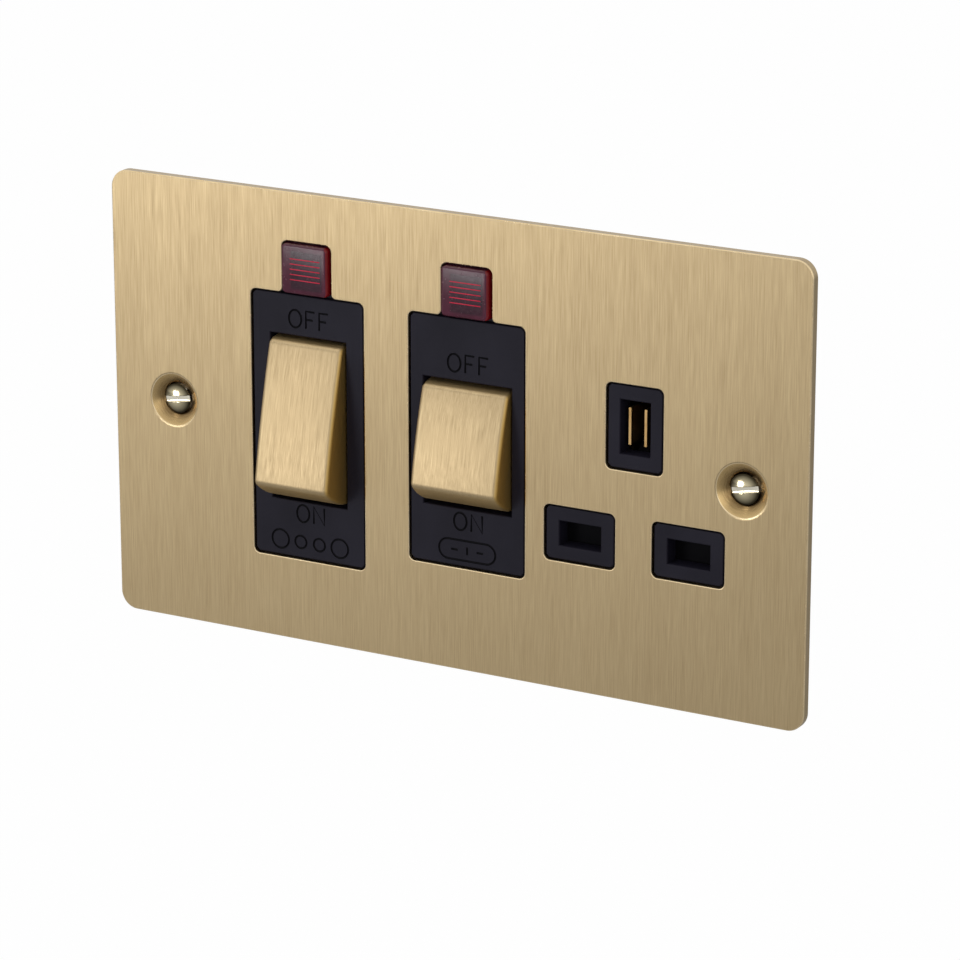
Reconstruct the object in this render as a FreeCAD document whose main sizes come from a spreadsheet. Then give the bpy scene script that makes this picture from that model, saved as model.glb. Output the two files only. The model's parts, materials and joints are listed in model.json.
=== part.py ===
import FreeCAD, Part

import math
import os

import Sketcher

# Cooker control unit: a twin flush plate with a double-pole cooker switch, a switched
# three-pin socket outlet and a neon over each switch.
# Frame: X to the right, Z up, the front faces -Y, in millimetres.
# Origin: midway between the two fixing screws, in the plane where the backs of the
# plate's dished screw seats bear on the lugs of the wall box.

SIZES = {
    # front plate
    "plate_width": 147.0,
    "plate_height": 88.0,
    "plate_thick": 1.75,
    "plate_corner": 3.5,
    "fixing_hole": 4.2,
    "dish_rim": 10.5,
    "dish_depth": 1.1,
    "dish_edge": 0.35,
    # windows of the plate
    "cut_corner": 1.2,
    "cut_gap": 0.35,
    "face_recess": 0.3,
    # moulded body
    "body_corner": 3.0,
    "body_bevel": 2.0,
    "rear_room": 8.85,
    "wall": 2.0,
    "flange_thick": 2.4,
    # rockers
    "pivot_depth": 2.25,
    "trunnion_radius": 1.5,
    "trunnion_play": 0.05,
    "bearing_wall": 1.6,
    "well_depth": 7.0,
    "rocker_gap": 0.25,
    "rocker_end_gap": 0.4,
    "rocker_crown": 0.4,
    "rocker_skirt": 0.6,
    "rocker_end_edge": 1.4,
    "rocker_side_edge": 0.5,
    "cap_wall": 1.0,
    "cap_fit": 0.08,
    "carrier_wall": 1.3,
    "cooker_reach": 8.1,
    "cooker_tilt": 13.0,
    "socket_reach": 7.3,
    "socket_tilt": 14.0,
    # plungers and contact arms
    "pole_inset": 4.05,
    "pole_clear": 3.0,
    "plunger_half": 1.6,
    "plunger_play": 0.12,
    "plunger_reach": 12.0,
    "plunger_length": 9.0,
    "spring_wire": 0.5,
    "spring_end": 0.1,
    "boss_reach": 7.0,
    "boss_half_height": 4.0,
    "bore_floor": 2.6,
    "arm_gap": 0.3,
    "arm_thick": 1.2,
    "arm_bend_angle": 14.0,
    "arm_swing_angle": 8.0,
    "tip_half": 1.4,
    "tip_thick": 1.0,
    "contact_gap": 0.12,
    "bar_thick": 1.2,
    "ridge_gap": 0.1,
    "link_width": 4.0,
    "link_clear": 1.0,
    # cable terminals
    "wire_half": 3.0,
    "wire_reach": 7.0,
    "wire_set": 4.0,
    "clamp_radius": 2.0,
    "access_half": 2.4,
    "cradle_clear": 0.16,
    "terminal_gap": 1.8,
    # outlet contacts and shutter
    "leaf_thick": 0.5,
    "earth_leaf_gap": 2.7,
    "earth_leaf_height": 7.0,
    "earth_leaf_set": 1.1,
    "fork_gap": 3.5,
    "fork_mouth": 4.2,
    "shutter_set": 3.5,
    "shutter_thick": 1.5,
    "shutter_clear": 0.8,
    "shutter_lap": 0.9,
    "shutter_play": 0.15,
    "spring_radius": 1.6,
    "spring_length": 11.0,
    # neon indicators
    "lens_proud": 0.85,
    "lens_flange": 1.0,
    "lens_lip": 0.9,
    "lens_skin": 1.3,
    "lens_corner": 0.5,
    "lens_edge": 0.4,
    "lens_rib_pitch": 1.0,
    "lamp_radius": 2.4,
    "resistor_radius": 1.0,
    # fasteners
    "boss_clear": 0.1,
    "boss_half": 2.5,
    "boss_length": 5.0,
    "post_half": 3.9,
    "strap_thick": 0.8,
    "screw_radius": 1.5,
    "screw_head": 2.8,
    "screw_head_height": 2.0,
    "fixing_radius": 1.75,
    "fixing_head": 3.45,
    "fixing_dome": 1.0,
    "fixing_slot": 1.15,
    "fixing_length": 20.0,
    "fit": 0.02,
}

# Lengths across the unit, in proportion to the plate's width
ACROSS = {
    "fixing_pitch": "120.6 / 147 * plate_width",
    "switch_cut_width": "24.6 / 147 * plate_width",
    "neon_cut_width": "10.65 / 147 * plate_width",
    "cooker_x": "-30.4 / 147 * plate_width",
    "socket_x": "3.8 / 147 * plate_width",
    "pin_spread": "22.23 / 147 * plate_width",
    "earth_x": "38.6 / 147 * plate_width",
    "earth_cut_width": "11.65 / 147 * plate_width",
    "pole_cut_width": "14.7 / 147 * plate_width",
    "earth_hole_width": "6.1 / 147 * plate_width",
    "pole_hole_width": "8.6 / 147 * plate_width",
    "body_width": "116.8 / 147 * plate_width",
    "lug_notch": "7.6 / 147 * plate_width",
    "cooker_open_width": "16.5 / 147 * plate_width",
    "socket_open_width": "18.7 / 147 * plate_width",
    "terminal_width": "9.4 / 147 * plate_width",
    "terminal_spread": "12.2 / 147 * plate_width",
    "fork_width": "6.0 / 147 * plate_width",
    "leg_width": "3.4 / 147 * plate_width",
}

# Lengths up the unit, in proportion to the plate's height
UPWARD = {
    "switch_cut_top": "24.5 / 88 * plate_height",
    "neon_cut_top": "34.55 / 88 * plate_height",
    "cooker_cut_drop": "27.8 / 88 * plate_height",
    "socket_cut_drop": "23.9 / 88 * plate_height",
    "pin_rise": "22.23 / 88 * plate_height",
    "earth_z": "8.43 / 88 * plate_height",
    "earth_cut_height": "16.4 / 88 * plate_height",
    "pole_cut_height": "10.75 / 88 * plate_height",
    "earth_hole_height": "10.3 / 88 * plate_height",
    "pole_hole_height": "4.8 / 88 * plate_height",
    "body_height": "72.8 / 88 * plate_height",
    "cooker_open_height": "32.6 / 88 * plate_height",
    "socket_open_height": "24.7 / 88 * plate_height",
    "terminal_height": "9.0 / 88 * plate_height",
    "arm_span": "11.0 / 88 * plate_height",
}

doc = FreeCAD.newDocument("cooker_control_unit")
sheet = doc.addObject("Spreadsheet::Sheet", "sizes")
cells = [(alias, str(value)) for alias, value in SIZES.items()]
for alias, share in list(ACROSS.items()) + list(UPWARD.items()):
    cells.append((alias, "=" + share))
for row, (alias, content) in enumerate(cells, 1):
    sheet.set("A%d" % row, alias)
    sheet.set("B%d" % row, content)
    sheet.setAlias("B%d" % row, alias)
doc.recompute()


class Size:
    """A length or an angle in degrees: its number, and the expression that binds a feature to it."""

    def __init__(self, value, text):
        self.value = float(value)
        self.text = text

    def __add__(self, other):
        other = size(other)
        return Size(self.value + other.value, "(%s + %s)" % (self.text, other.text))

    def __sub__(self, other):
        other = size(other)
        return Size(self.value - other.value, "(%s - %s)" % (self.text, other.text))

    def __mul__(self, other):
        other = size(other)
        return Size(self.value * other.value, "(%s * %s)" % (self.text, other.text))

    def __truediv__(self, other):
        other = size(other)
        return Size(self.value / other.value, "(%s / %s)" % (self.text, other.text))

    def __radd__(self, other):
        return size(other) + self

    def __rsub__(self, other):
        return size(other) - self

    def __rmul__(self, other):
        return size(other) * self

    def __neg__(self):
        return Size(-self.value, "(0 - %s)" % self.text)


def size(value):
    """The value as a Size, if it is a plain number."""
    return value if isinstance(value, Size) else Size(value, "%.9g" % value)


def root(value):
    return Size(math.sqrt(value.value), "sqrt(%s)" % value.text)


def sine(angle):
    return Size(math.sin(math.radians(angle.value)), "sin(%s)" % angle.text)


def cosine(angle):
    return Size(math.cos(math.radians(angle.value)), "cos(%s)" % angle.text)


def tangent(angle):
    return Size(math.tan(math.radians(angle.value)), "tan(%s)" % angle.text)


class Sheet:
    """The spreadsheet's cells, read back by their aliases."""

    def __getattr__(self, alias):
        return Size(sheet.get(alias), "sizes." + alias)


S = Sheet()
NODES = []

# how near two lengths or directions count as the same
SAME_PLACE = 1e-4
SAME_WAY = 1e-6
# the numbers of a curve's points in a sketch
START_POINT, END_POINT, CENTRE_POINT = 1, 2, 3
QUARTERS = 4
# how the wire springs are drawn, and the lenses' ribs counted from the middle
COIL_SIDES = 8
PLUNGER_SPRING_TURNS = 3
SHUTTER_SPRING_TURNS = 4
RIB_STEPS = range(-2, 3)


def node(feature, label):
    """Names a finished sub-part, which is written to the file of that name."""
    feature.Label = label
    NODES.append(feature)
    return feature


def bind(feature, place, value):
    feature.setExpression(place, size(value).text)


def bind_base(feature, x, y, z):
    for axis, value in zip("xyz", (x, y, z)):
        bind(feature, "Placement.Base.%s" % axis, value)


# Part primitives and booleans

AIM = {
    "X": FreeCAD.Rotation(FreeCAD.Vector(0, 1, 0), 90),
    "Y": FreeCAD.Rotation(FreeCAD.Vector(1, 0, 0), -90),
    "Z": FreeCAD.Rotation(),
}


def block(x, y, z):
    """A box between the given low and high coordinates."""
    box = doc.addObject("Part::Box", "block")
    for prop, (low, high) in zip(("Length", "Width", "Height"), (x, y, z)):
        bind(box, prop, high - low)
    bind_base(box, x[0], y[0], z[0])
    return box


def around(centre, width):
    """The low and high coordinates of a width about a centre."""
    return size(centre - width / 2), size(centre + width / 2)


def span(start, end):
    """Two coordinates, the lower one first."""
    return tuple(sorted((size(start), size(end)), key=lambda place: place.value))


def rod(aim, radius, length, start):
    """A cylinder along an axis, from the point where it starts."""
    cylinder = doc.addObject("Part::Cylinder", "rod")
    cylinder.Placement = FreeCAD.Placement(FreeCAD.Vector(), AIM[aim])
    bind(cylinder, "Radius", radius)
    bind(cylinder, "Height", length)
    bind_base(cylinder, *start)
    return cylinder


def joined(*pieces):
    fuse = doc.addObject("Part::MultiFuse", "joined")
    fuse.Shapes = list(pieces)
    fuse.Refine = True
    return fuse


def group(*pieces):
    """Separate solids kept in one object."""
    compound = doc.addObject("Part::Compound", "set")
    compound.Links = list(pieces)
    return compound


def shared(*pieces):
    common = doc.addObject("Part::MultiCommon", "shared")
    common.Shapes = list(pieces)
    return common


def less(base, *tools):
    """The base with the tools cut away."""
    cut = doc.addObject("Part::Cut", "cut")
    cut.Base = base
    cut.Tool = tools[0] if len(tools) == 1 else joined(*tools)
    return cut


def eased(base, kind, amount, wanted):
    """The base with a Fillet or Chamfer on each edge that the test picks."""
    doc.recompute()
    feature = doc.addObject("Part::" + kind, kind.lower())
    feature.Base = base
    edges = enumerate(base.Shape.Edges, 1)
    feature.Edges = [(place, amount.value, amount.value) for place, edge in edges if wanted(edge)]
    return feature


def pose(feature, tilt, y, x=0.0):
    """Tilts a piece made about the origin by an angle about X, and sets it on its pivot."""
    feature.Placement = FreeCAD.Placement(FreeCAD.Vector(), FreeCAD.Rotation(FreeCAD.Vector(1, 0, 0), 1))
    bind(feature, "Placement.Rotation.Angle", tilt)
    bind_base(feature, x, y, 0)
    return feature


# PartDesign bodies and sketches

def body(name):
    return doc.addObject("PartDesign::Body", name)


def sketch(owner, role, offset):
    """A sketch on one of the body's origin planes, moved along the plane's normal."""
    drawing = owner.newObject("Sketcher::SketchObject", "outline")
    plane = [o for o in owner.Origin.OriginFeatures if o.Role == role][0]
    drawing.AttachmentSupport = (plane, [""])
    drawing.MapMode = "FlatFace"
    bind(drawing, "AttachmentOffset.Base.z", offset)
    return drawing


def front_sketch(owner, y):
    """A sketch seen from the front, X to the right and Z up, at the given Y."""
    return sketch(owner, "XZ_Plane", -size(y))


def fix_point(drawing, geometry, point, x, y):
    """Holds a point at its distances from the sketch's origin."""
    for kind, value in (("DistanceX", size(x)), ("DistanceY", size(y))):
        held = drawing.addConstraint(Sketcher.Constraint(kind, -1, 1, geometry, point, value.value))
        bind(drawing, "Constraints[%d]" % held, value)


def polygon(drawing, points):
    """A closed outline with straight sides."""
    points = [(size(x), size(y)) for x, y in points]
    first = drawing.GeometryCount
    count = len(points)
    for here in range(count):
        ends = points[here], points[(here + 1) % count]
        start, end = (FreeCAD.Vector(x.value, y.value, 0) for x, y in ends)
        drawing.addGeometry(Part.LineSegment(start, end), False)
    for here in range(count):
        after = first + (here + 1) % count
        drawing.addConstraint(Sketcher.Constraint("Coincident", first + here, 2, after, 1))
    for here, (x, y) in enumerate(points):
        fix_point(drawing, first + here, 1, x, y)


def round_rectangle(drawing, x, y, radius):
    """A rectangle between low and high coordinates, its corners arcs of one radius."""
    radius = size(radius)
    first = drawing.GeometryCount
    corners = ((x[1], y[1], -1, -1), (x[0], y[1], 1, -1), (x[0], y[0], 1, 1), (x[1], y[0], -1, 1))
    centres = [(cx + sx * radius, cy + sy * radius) for cx, cy, sx, sy in corners]
    for turn, (cx, cy) in enumerate(centres):
        circle = Part.Circle(FreeCAD.Vector(cx.value, cy.value, 0), FreeCAD.Vector(0, 0, 1), radius.value)
        start = turn * math.pi / 2
        drawing.addGeometry(Part.ArcOfCircle(circle, start, start + math.pi / 2), False)
    for turn in range(QUARTERS):
        start = drawing.Geometry[first + turn].EndPoint
        end = drawing.Geometry[first + (turn + 1) % QUARTERS].StartPoint
        drawing.addGeometry(Part.LineSegment(start, end), False)
    for turn, (cx, cy) in enumerate(centres):
        arc = first + turn
        side = first + QUARTERS + turn
        after = first + (turn + 1) % QUARTERS
        drawing.addConstraint(Sketcher.Constraint("Tangent", arc, END_POINT, side, START_POINT))
        drawing.addConstraint(Sketcher.Constraint("Tangent", side, END_POINT, after, START_POINT))
        fix_point(drawing, arc, CENTRE_POINT, cx, cy)
        held = drawing.addConstraint(Sketcher.Constraint("Radius", arc, radius.value))
        bind(drawing, "Constraints[%d]" % held, radius)


def cut_rectangle(drawing, x, y, cut):
    """A rectangle between low and high coordinates, its corners cut off straight."""
    polygon(drawing, [
        (x[0] + cut, y[0]),
        (x[1] - cut, y[0]),
        (x[1], y[0] + cut),
        (x[1], y[1] - cut),
        (x[1] - cut, y[1]),
        (x[0] + cut, y[1]),
        (x[0], y[1] - cut),
        (x[0], y[0] + cut),
    ])


def rectangle(drawing, x, y):
    polygon(drawing, [(x[0], y[0]), (x[1], y[0]), (x[1], y[1]), (x[0], y[1])])


def circle(drawing, x, y, radius):
    x, y, radius = size(x), size(y), size(radius)
    place = FreeCAD.Vector(x.value, y.value, 0)
    drawn = drawing.addGeometry(Part.Circle(place, FreeCAD.Vector(0, 0, 1), radius.value), False)
    fix_point(drawing, drawn, CENTRE_POINT, x, y)
    held = drawing.addConstraint(Sketcher.Constraint("Radius", drawn, radius.value))
    bind(drawing, "Constraints[%d]" % held, radius)


def extruded(owner, kind, drawing, length, rearward=True, midplane=False):
    """A Pad or Pocket of a sketch. From a front sketch, rearward is towards +Y."""
    feature = owner.newObject("PartDesign::" + kind, kind.lower())
    feature.Profile = drawing
    bind(feature, "Length", length)
    if midplane:
        feature.SideType = "Symmetric"
    else:
        feature.Reversed = rearward if kind == "Pad" else not rearward
    return feature


def turned(owner, kind, drawing):
    """A Revolution or Groove about the sketch's vertical axis."""
    feature = owner.newObject("PartDesign::" + kind, kind.lower())
    feature.Profile = drawing
    feature.ReferenceAxis = (drawing, ["V_Axis"])
    feature.Angle = 360
    return feature


def soften(owner, radius, wanted, kind="Fillet"):
    """A fillet or chamfer on the edges of the body so far that the test picks."""
    doc.recompute()
    base = owner.Tip
    names = ["Edge%d" % n for n, edge in enumerate(base.Shape.Edges, 1) if wanted(edge)]
    feature = owner.newObject("PartDesign::" + kind, kind.lower())
    feature.Base = (base, names)
    bind(feature, "Radius" if kind == "Fillet" else "Size", radius)
    return feature


def upright(edge, axis):
    """Is the edge straight and along the axis, given as 0, 1 or 2?"""
    if len(edge.Vertexes) != 2 or edge.Curve.TypeId != "Part::GeomLine":
        return False
    way = edge.Vertexes[1].Point - edge.Vertexes[0].Point
    return abs(abs(way[axis]) - way.Length) < SAME_WAY


def in_plane(edge, axis, place):
    """Does the whole edge lie in the plane across the axis at that place?"""
    box = edge.BoundBox
    low, high = ((box.XMin, box.XMax), (box.YMin, box.YMax), (box.ZMin, box.ZMax))[axis]
    return abs(low - place.value) < SAME_PLACE and abs(high - place.value) < SAME_PLACE


# Planes and places that several pieces share

plate_rear = -S.dish_depth
plate_front = plate_rear - S.plate_thick
face = plate_front + S.face_recess
flange_rear = plate_rear + S.flange_thick
pivot_y = plate_rear + S.pivot_depth
arm_y = pivot_y + S.plunger_reach + S.arm_thick / 2 + S.arm_gap
bar_front = arm_y + S.arm_thick + S.ridge_gap
bar_rear = bar_front + S.bar_thick
floor = arm_y + S.rear_room
body_rear = floor + S.wall
terminal_rear = floor - S.wall
outlet_bar_front = terminal_rear - S.bar_thick / 2

pole_z = S.earth_z - S.pin_rise
line_x = S.earth_x + S.pin_spread / 2
neutral_x = S.earth_x - S.pin_spread / 2
pole_offset = S.cooker_open_width / 2 - S.pole_inset
arm_width = 2 * pole_offset - S.pole_clear
corner_inset = S.wall + S.boss_half + S.strap_thick + S.boss_clear
boss_x = S.body_width / 2 - corner_inset
boss_z = S.body_height / 2 - corner_inset
wall_inside = S.body_height / 2 - S.wall
terminal_in = wall_inside - S.terminal_height
terminal_z = wall_inside - S.terminal_height / 2

shutter_front = face + S.shutter_set
shutter_rear = shutter_front + S.shutter_thick
shutter_travel = S.pole_hole_height + S.shutter_clear
stem_width = S.earth_leaf_gap + 4 * S.leaf_thick
spring_shelf = 2 * S.spring_radius + 2 * S.spring_wire

neon_low = S.switch_cut_top + S.cut_gap / 2
neon_high = S.neon_cut_top - S.cut_gap
neon_z = (neon_low + neon_high) / 2
lamp_length = 2 * (wall_inside - neon_z - S.carrier_wall - S.cradle_clear)
lamp_room = 2 * S.lamp_radius + 2 * S.shutter_play
cradle_depth = 2 * S.lamp_radius + 2 * S.resistor_radius
terminal_front = flange_rear + cradle_depth + S.terminal_gap
wire_y = terminal_front + S.wire_set

SWITCHES = {
    "cooker": {
        "x": S.cooker_x,
        "cut_low": -S.cooker_cut_drop,
        "open_width": S.cooker_open_width,
        "open_height": S.cooker_open_height,
        "reach": S.cooker_reach,
        "tilt": S.cooker_tilt,
    },
    "socket": {
        "x": S.socket_x,
        "cut_low": -S.socket_cut_drop,
        "open_width": S.socket_open_width,
        "open_height": S.socket_open_height,
        "reach": S.socket_reach,
        "tilt": S.socket_tilt,
    },
}
PINS = (
    (S.earth_x, S.earth_z, S.earth_cut_width, S.earth_cut_height, S.earth_hole_width, S.earth_hole_height),
    (line_x, pole_z, S.pole_cut_width, S.pole_cut_height, S.pole_hole_width, S.pole_hole_height),
    (neutral_x, pole_z, S.pole_cut_width, S.pole_cut_height, S.pole_hole_width, S.pole_hole_height),
)
SIDES = (-1, 1)
CORNERS = ((-1, -1), (1, -1), (1, 1), (-1, 1))


# Front plate: one sheet with five windows, dished screw seats and four clinched bosses

def front_plate():
    plate = body("plate")
    outline = front_sketch(plate, plate_rear)
    round_rectangle(outline, around(0, S.plate_width), around(0, S.plate_height), S.plate_corner)
    extruded(plate, "Pad", outline, S.plate_thick, rearward=False)

    for side in SIDES:
        seat = sketch(plate, "XY_Plane", 0)
        bind(seat, "AttachmentOffset.Base.x", side * S.fixing_pitch / 2)
        slope = S.dish_rim / 2 - S.fixing_head
        foot = S.dish_rim / 2 - slope / 2
        polygon(seat, [(0, plate_rear), (S.dish_rim / 2, plate_rear), (foot, 0), (0, 0)])
        turned(plate, "Revolution", seat)

    bosses = front_sketch(plate, plate_rear)
    for side, up in CORNERS:
        rectangle(bosses, around(side * boss_x, 2 * S.boss_half), around(up * boss_z, 2 * S.boss_half))
    extruded(plate, "Pad", bosses, S.boss_length)
    holes = front_sketch(plate, plate_rear + S.boss_length)
    for side, up in CORNERS:
        circle(holes, side * boss_x, up * boss_z, S.screw_radius + S.fit)
    extruded(plate, "Pocket", holes, S.boss_length - S.strap_thick, rearward=False)

    windows = front_sketch(plate, plate_rear)
    for switch in SWITCHES.values():
        across = around(switch["x"], S.switch_cut_width)
        round_rectangle(windows, across, (switch["cut_low"], S.switch_cut_top), S.cut_corner)
    for x, z, width, height, _, _ in PINS:
        round_rectangle(windows, around(x, width), around(z, height), S.cut_corner)
    extruded(plate, "Pocket", windows, S.plate_thick, rearward=False)
    notches = front_sketch(plate, plate_rear)
    notch_foot = S.switch_cut_top - 3 * S.cut_corner
    for switch in SWITCHES.values():
        across = around(switch["x"], S.neon_cut_width)
        round_rectangle(notches, across, (notch_foot, S.neon_cut_top), S.cut_corner)
    extruded(plate, "Pocket", notches, S.plate_thick, rearward=False)

    def shoulder(edge):
        if not upright(edge, 1):
            return False
        return abs(edge.Vertexes[0].Z - S.switch_cut_top.value) < SAME_PLACE
    soften(plate, S.cut_corner, shoulder)

    for side in SIDES:
        dish = sketch(plate, "XY_Plane", 0)
        bind(dish, "AttachmentOffset.Base.x", side * S.fixing_pitch / 2)
        seat_y = plate_front + S.dish_depth
        throat = seat_y + S.fixing_head + S.fit - S.fixing_hole / 2
        edge_foot = plate_front + S.dish_edge / 3
        polygon(dish, [
            (0, plate_front - 1),
            (S.dish_rim / 2, plate_front - 1),
            (S.dish_rim / 2, plate_front),
            (S.dish_rim / 2 - S.dish_edge, edge_foot),
            (S.fixing_head + S.fit, seat_y),
            (S.fixing_hole / 2, throat),
            (S.fixing_hole / 2, 1),
            (0, 1),
        ])
        turned(plate, "Groove", dish)
    return node(plate, "front_plate")


# Front moulding: flange behind the plate, islands that fill its windows, rocker wells

def islands(moulding):
    faces = front_sketch(moulding, plate_rear)
    corner = S.cut_corner / 2
    top = S.switch_cut_top - S.cut_gap
    for switch in SWITCHES.values():
        across = around(switch["x"], S.switch_cut_width - 2 * S.cut_gap)
        cut_rectangle(faces, across, (switch["cut_low"] + S.cut_gap, top), corner)
    for x, z, width, height, _, _ in PINS:
        across = around(x, width - 2 * S.cut_gap)
        cut_rectangle(faces, across, around(z, height - 2 * S.cut_gap), corner)
    extruded(moulding, "Pad", faces, S.plate_thick - S.face_recess, rearward=False)


def wells(moulding):
    """The walls that carry the rockers' trunnions in slots open to the rear."""
    walls = front_sketch(moulding, flange_rear)
    cheek_height = 6 * S.trunnion_radius
    for switch in SWITCHES.values():
        width = switch["open_width"] + 2 * S.bearing_wall + S.wall
        rectangle(walls, around(switch["x"], width), around(0, cheek_height))
    extruded(moulding, "Pad", walls, S.well_depth - S.flange_thick)
    openings = front_sketch(moulding, face)
    for switch in SWITCHES.values():
        rectangle(openings, around(switch["x"], switch["open_width"]), around(0, switch["open_height"]))
    extruded(moulding, "Pocket", openings, S.plate_thick - S.face_recess + S.well_depth)
    for switch in SWITCHES.values():
        bearing = S.trunnion_radius + S.trunnion_play
        reach = switch["open_width"] + 2 * S.bearing_wall
        seat = sketch(moulding, "YZ_Plane", switch["x"])
        circle(seat, pivot_y, 0, bearing)
        extruded(moulding, "Pocket", seat, reach, midplane=True)
        slot = sketch(moulding, "YZ_Plane", switch["x"])
        rectangle(slot, (pivot_y, plate_rear + S.well_depth + 1), (-bearing, bearing))
        extruded(moulding, "Pocket", slot, reach, midplane=True)


def neon_cradles(moulding):
    """A lip for each lens behind the plate, and an open box that holds its lamp."""
    cradles = front_sketch(moulding, flange_rear)
    for switch in SWITCHES.values():
        outer = around(switch["x"], lamp_room + 2 * S.carrier_wall)
        rectangle(cradles, outer, around(neon_z, lamp_length + 2 * S.carrier_wall))
    extruded(moulding, "Pad", cradles, cradle_depth)
    lips = front_sketch(moulding, plate_rear)
    for switch in SWITCHES.values():
        across = around(switch["x"], S.neon_cut_width + 2 * S.lens_lip)
        rectangle(lips, across, (neon_low, S.neon_cut_top + S.lens_lip))
    extruded(moulding, "Pocket", lips, S.lens_flange + S.fit)
    rooms = front_sketch(moulding, plate_rear)
    for switch in SWITCHES.values():
        rectangle(rooms, around(switch["x"], lamp_room), around(neon_z, lamp_length + 2 * S.shutter_play))
    extruded(moulding, "Pocket", rooms, S.flange_thick + cradle_depth)


def body_outline(drawing):
    """The rounded outline that the moulding and the housing share."""
    round_rectangle(drawing, around(0, S.body_width), around(0, S.body_height), S.body_corner)


def front_moulding():
    moulding = body("moulding")
    flange = front_sketch(moulding, plate_rear)
    body_outline(flange)
    extruded(moulding, "Pad", flange, S.flange_thick)
    notches = front_sketch(moulding, plate_rear)
    for side in SIDES:
        circle(notches, side * S.fixing_pitch / 2, 0, S.lug_notch)
    extruded(moulding, "Pocket", notches, S.flange_thick)
    islands(moulding)
    wells(moulding)
    neon_cradles(moulding)

    bosses = front_sketch(moulding, plate_rear)
    hole = 2 * S.boss_half + 2 * S.fit
    for side, up in CORNERS:
        rectangle(bosses, around(side * boss_x, hole), around(up * boss_z, hole))
    extruded(moulding, "Pocket", bosses, S.flange_thick)

    pins = front_sketch(moulding, face)
    for x, z, _, _, width, height in PINS:
        rectangle(pins, around(x, width), around(z, height))
    extruded(moulding, "Pocket", pins, S.plate_thick - S.face_recess + S.flange_thick)

    track = front_sketch(moulding, shutter_front - S.shutter_play)
    low, high = shutter_span()
    play = S.shutter_play
    rectangle(track, shutter_across(play), (low - shutter_travel - play, high + play))
    extruded(moulding, "Pocket", track, S.flange_thick)
    guide = front_sketch(moulding, shutter_front - S.shutter_play)
    rectangle(guide, around(S.earth_x, stem_width), (high, S.earth_z - S.earth_hole_height / 2 + play))
    extruded(moulding, "Pocket", guide, S.flange_thick)
    return node(moulding, "front_moulding")


# Back housing: a tub with posts for the screws, terminal cells, cable holes and ribs

def terminal_places():
    """The centre of each cable terminal across the unit, and whether it is at the top."""
    half = S.terminal_spread / 2
    places = []
    for up in SIDES:
        for side in SIDES:
            places.append((S.cooker_x + side * half, up))
    places.append((S.earth_x, 1))
    return places


def beveled_form():
    """The body's outline behind the flange, with its long rear edges beveled."""
    form = body("form")
    outline = front_sketch(form, flange_rear)
    body_outline(outline)
    extruded(form, "Pad", outline, body_rear - flange_rear)
    soften(form, S.body_bevel, lambda edge: in_plane(edge, 1, body_rear) and upright(edge, 0), kind="Chamfer")
    return form


def lug_rods(radius, front, rear):
    return [rod("Y", radius, rear - front, (side * S.fixing_pitch / 2, front, 0)) for side in SIDES]


def tub():
    """The shell, with both sides drawn in around the lugs of the wall box."""
    shell = beveled_form()
    across = around(0, S.body_width - 2 * S.wall)
    room = block(across, (flange_rear - 1, floor), around(0, 2 * wall_inside))
    room = less(room, *lug_rods(S.lug_notch + S.wall, flange_rear - 2, body_rear))
    return less(shell, room, *lug_rods(S.lug_notch, flange_rear - 1, body_rear + 1))


def posts():
    """A post behind each corner boss of the plate."""
    start = plate_rear + S.boss_length + S.fit
    built = []
    for side, up in CORNERS:
        across = around(side * boss_x, 2 * S.post_half)
        built.append(block(across, (start, floor), around(up * boss_z, 2 * S.post_half)))
    return built


def terminal_cells():
    """A seat behind each cable terminal, and a barrier between the two of a pair."""
    ribs = []
    for x, up in terminal_places():
        seat = span(up * terminal_in, up * wall_inside)
        ribs.append(block(around(x, S.terminal_width), (terminal_rear, floor), seat))
    gap = S.terminal_spread - S.terminal_width
    for up in SIDES:
        upright_span = span(up * terminal_in, up * wall_inside)
        ribs.append(block(around(S.cooker_x, gap / 2), (terminal_front, floor), upright_span))
    return ribs


def bar_seats():
    """Ribs that carry the bars, the outlet's contacts and the earth strip."""
    ribs = []
    foot = S.link_width
    for switch in SWITCHES.values():
        for side in SIDES:
            x = switch["x"] + side * pole_offset
            ribs.append(block(around(x, arm_width / 2), (bar_rear, floor), around(0, foot)))
    contact_face, z = arm_tip()
    for side in SIDES:
        x = S.cooker_x + side * pole_offset
        rear = contact_face + S.tip_thick + S.bar_thick
        ribs.append(block(around(x, arm_width / 2), (rear, floor), (z - foot / 2, z + foot / 2)))
    outlet_rear = outlet_bar_front + S.bar_thick
    for side, pin_x in zip(SIDES, (line_x, neutral_x)):
        x = S.socket_x + side * pole_offset
        ribs.append(block(around(x, arm_width / 2), (outlet_rear, floor), (z - foot / 2, z + foot / 2)))
        ribs.append(block(around(pin_x, S.fork_width / 2), (outlet_rear, floor), around(pole_z, foot)))
    earth_low = S.earth_z - S.earth_leaf_height / 2
    ribs.append(block(around(S.earth_x, S.earth_leaf_gap), (bar_rear + S.bar_thick, floor),
                      (earth_low, earth_low + foot)))
    return ribs


def shutter_keepers():
    """Two posts that hold the shutter in its track, and the shelf under its spring."""
    low, high = shutter_span()
    width = S.wall
    keepers = []
    for side in SIDES:
        x = S.earth_x + side * (S.pin_spread / 2 - S.pole_hole_width / 2 - S.wall)
        keepers.append(block(around(x, width), (shutter_rear + S.shutter_play, floor),
                             (low, high - S.shutter_lap)))
    foot = low - S.spring_length
    keepers.append(block(around(S.earth_x, spring_shelf), (flange_rear, floor), (foot - S.wall, foot)))
    return keepers


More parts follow.
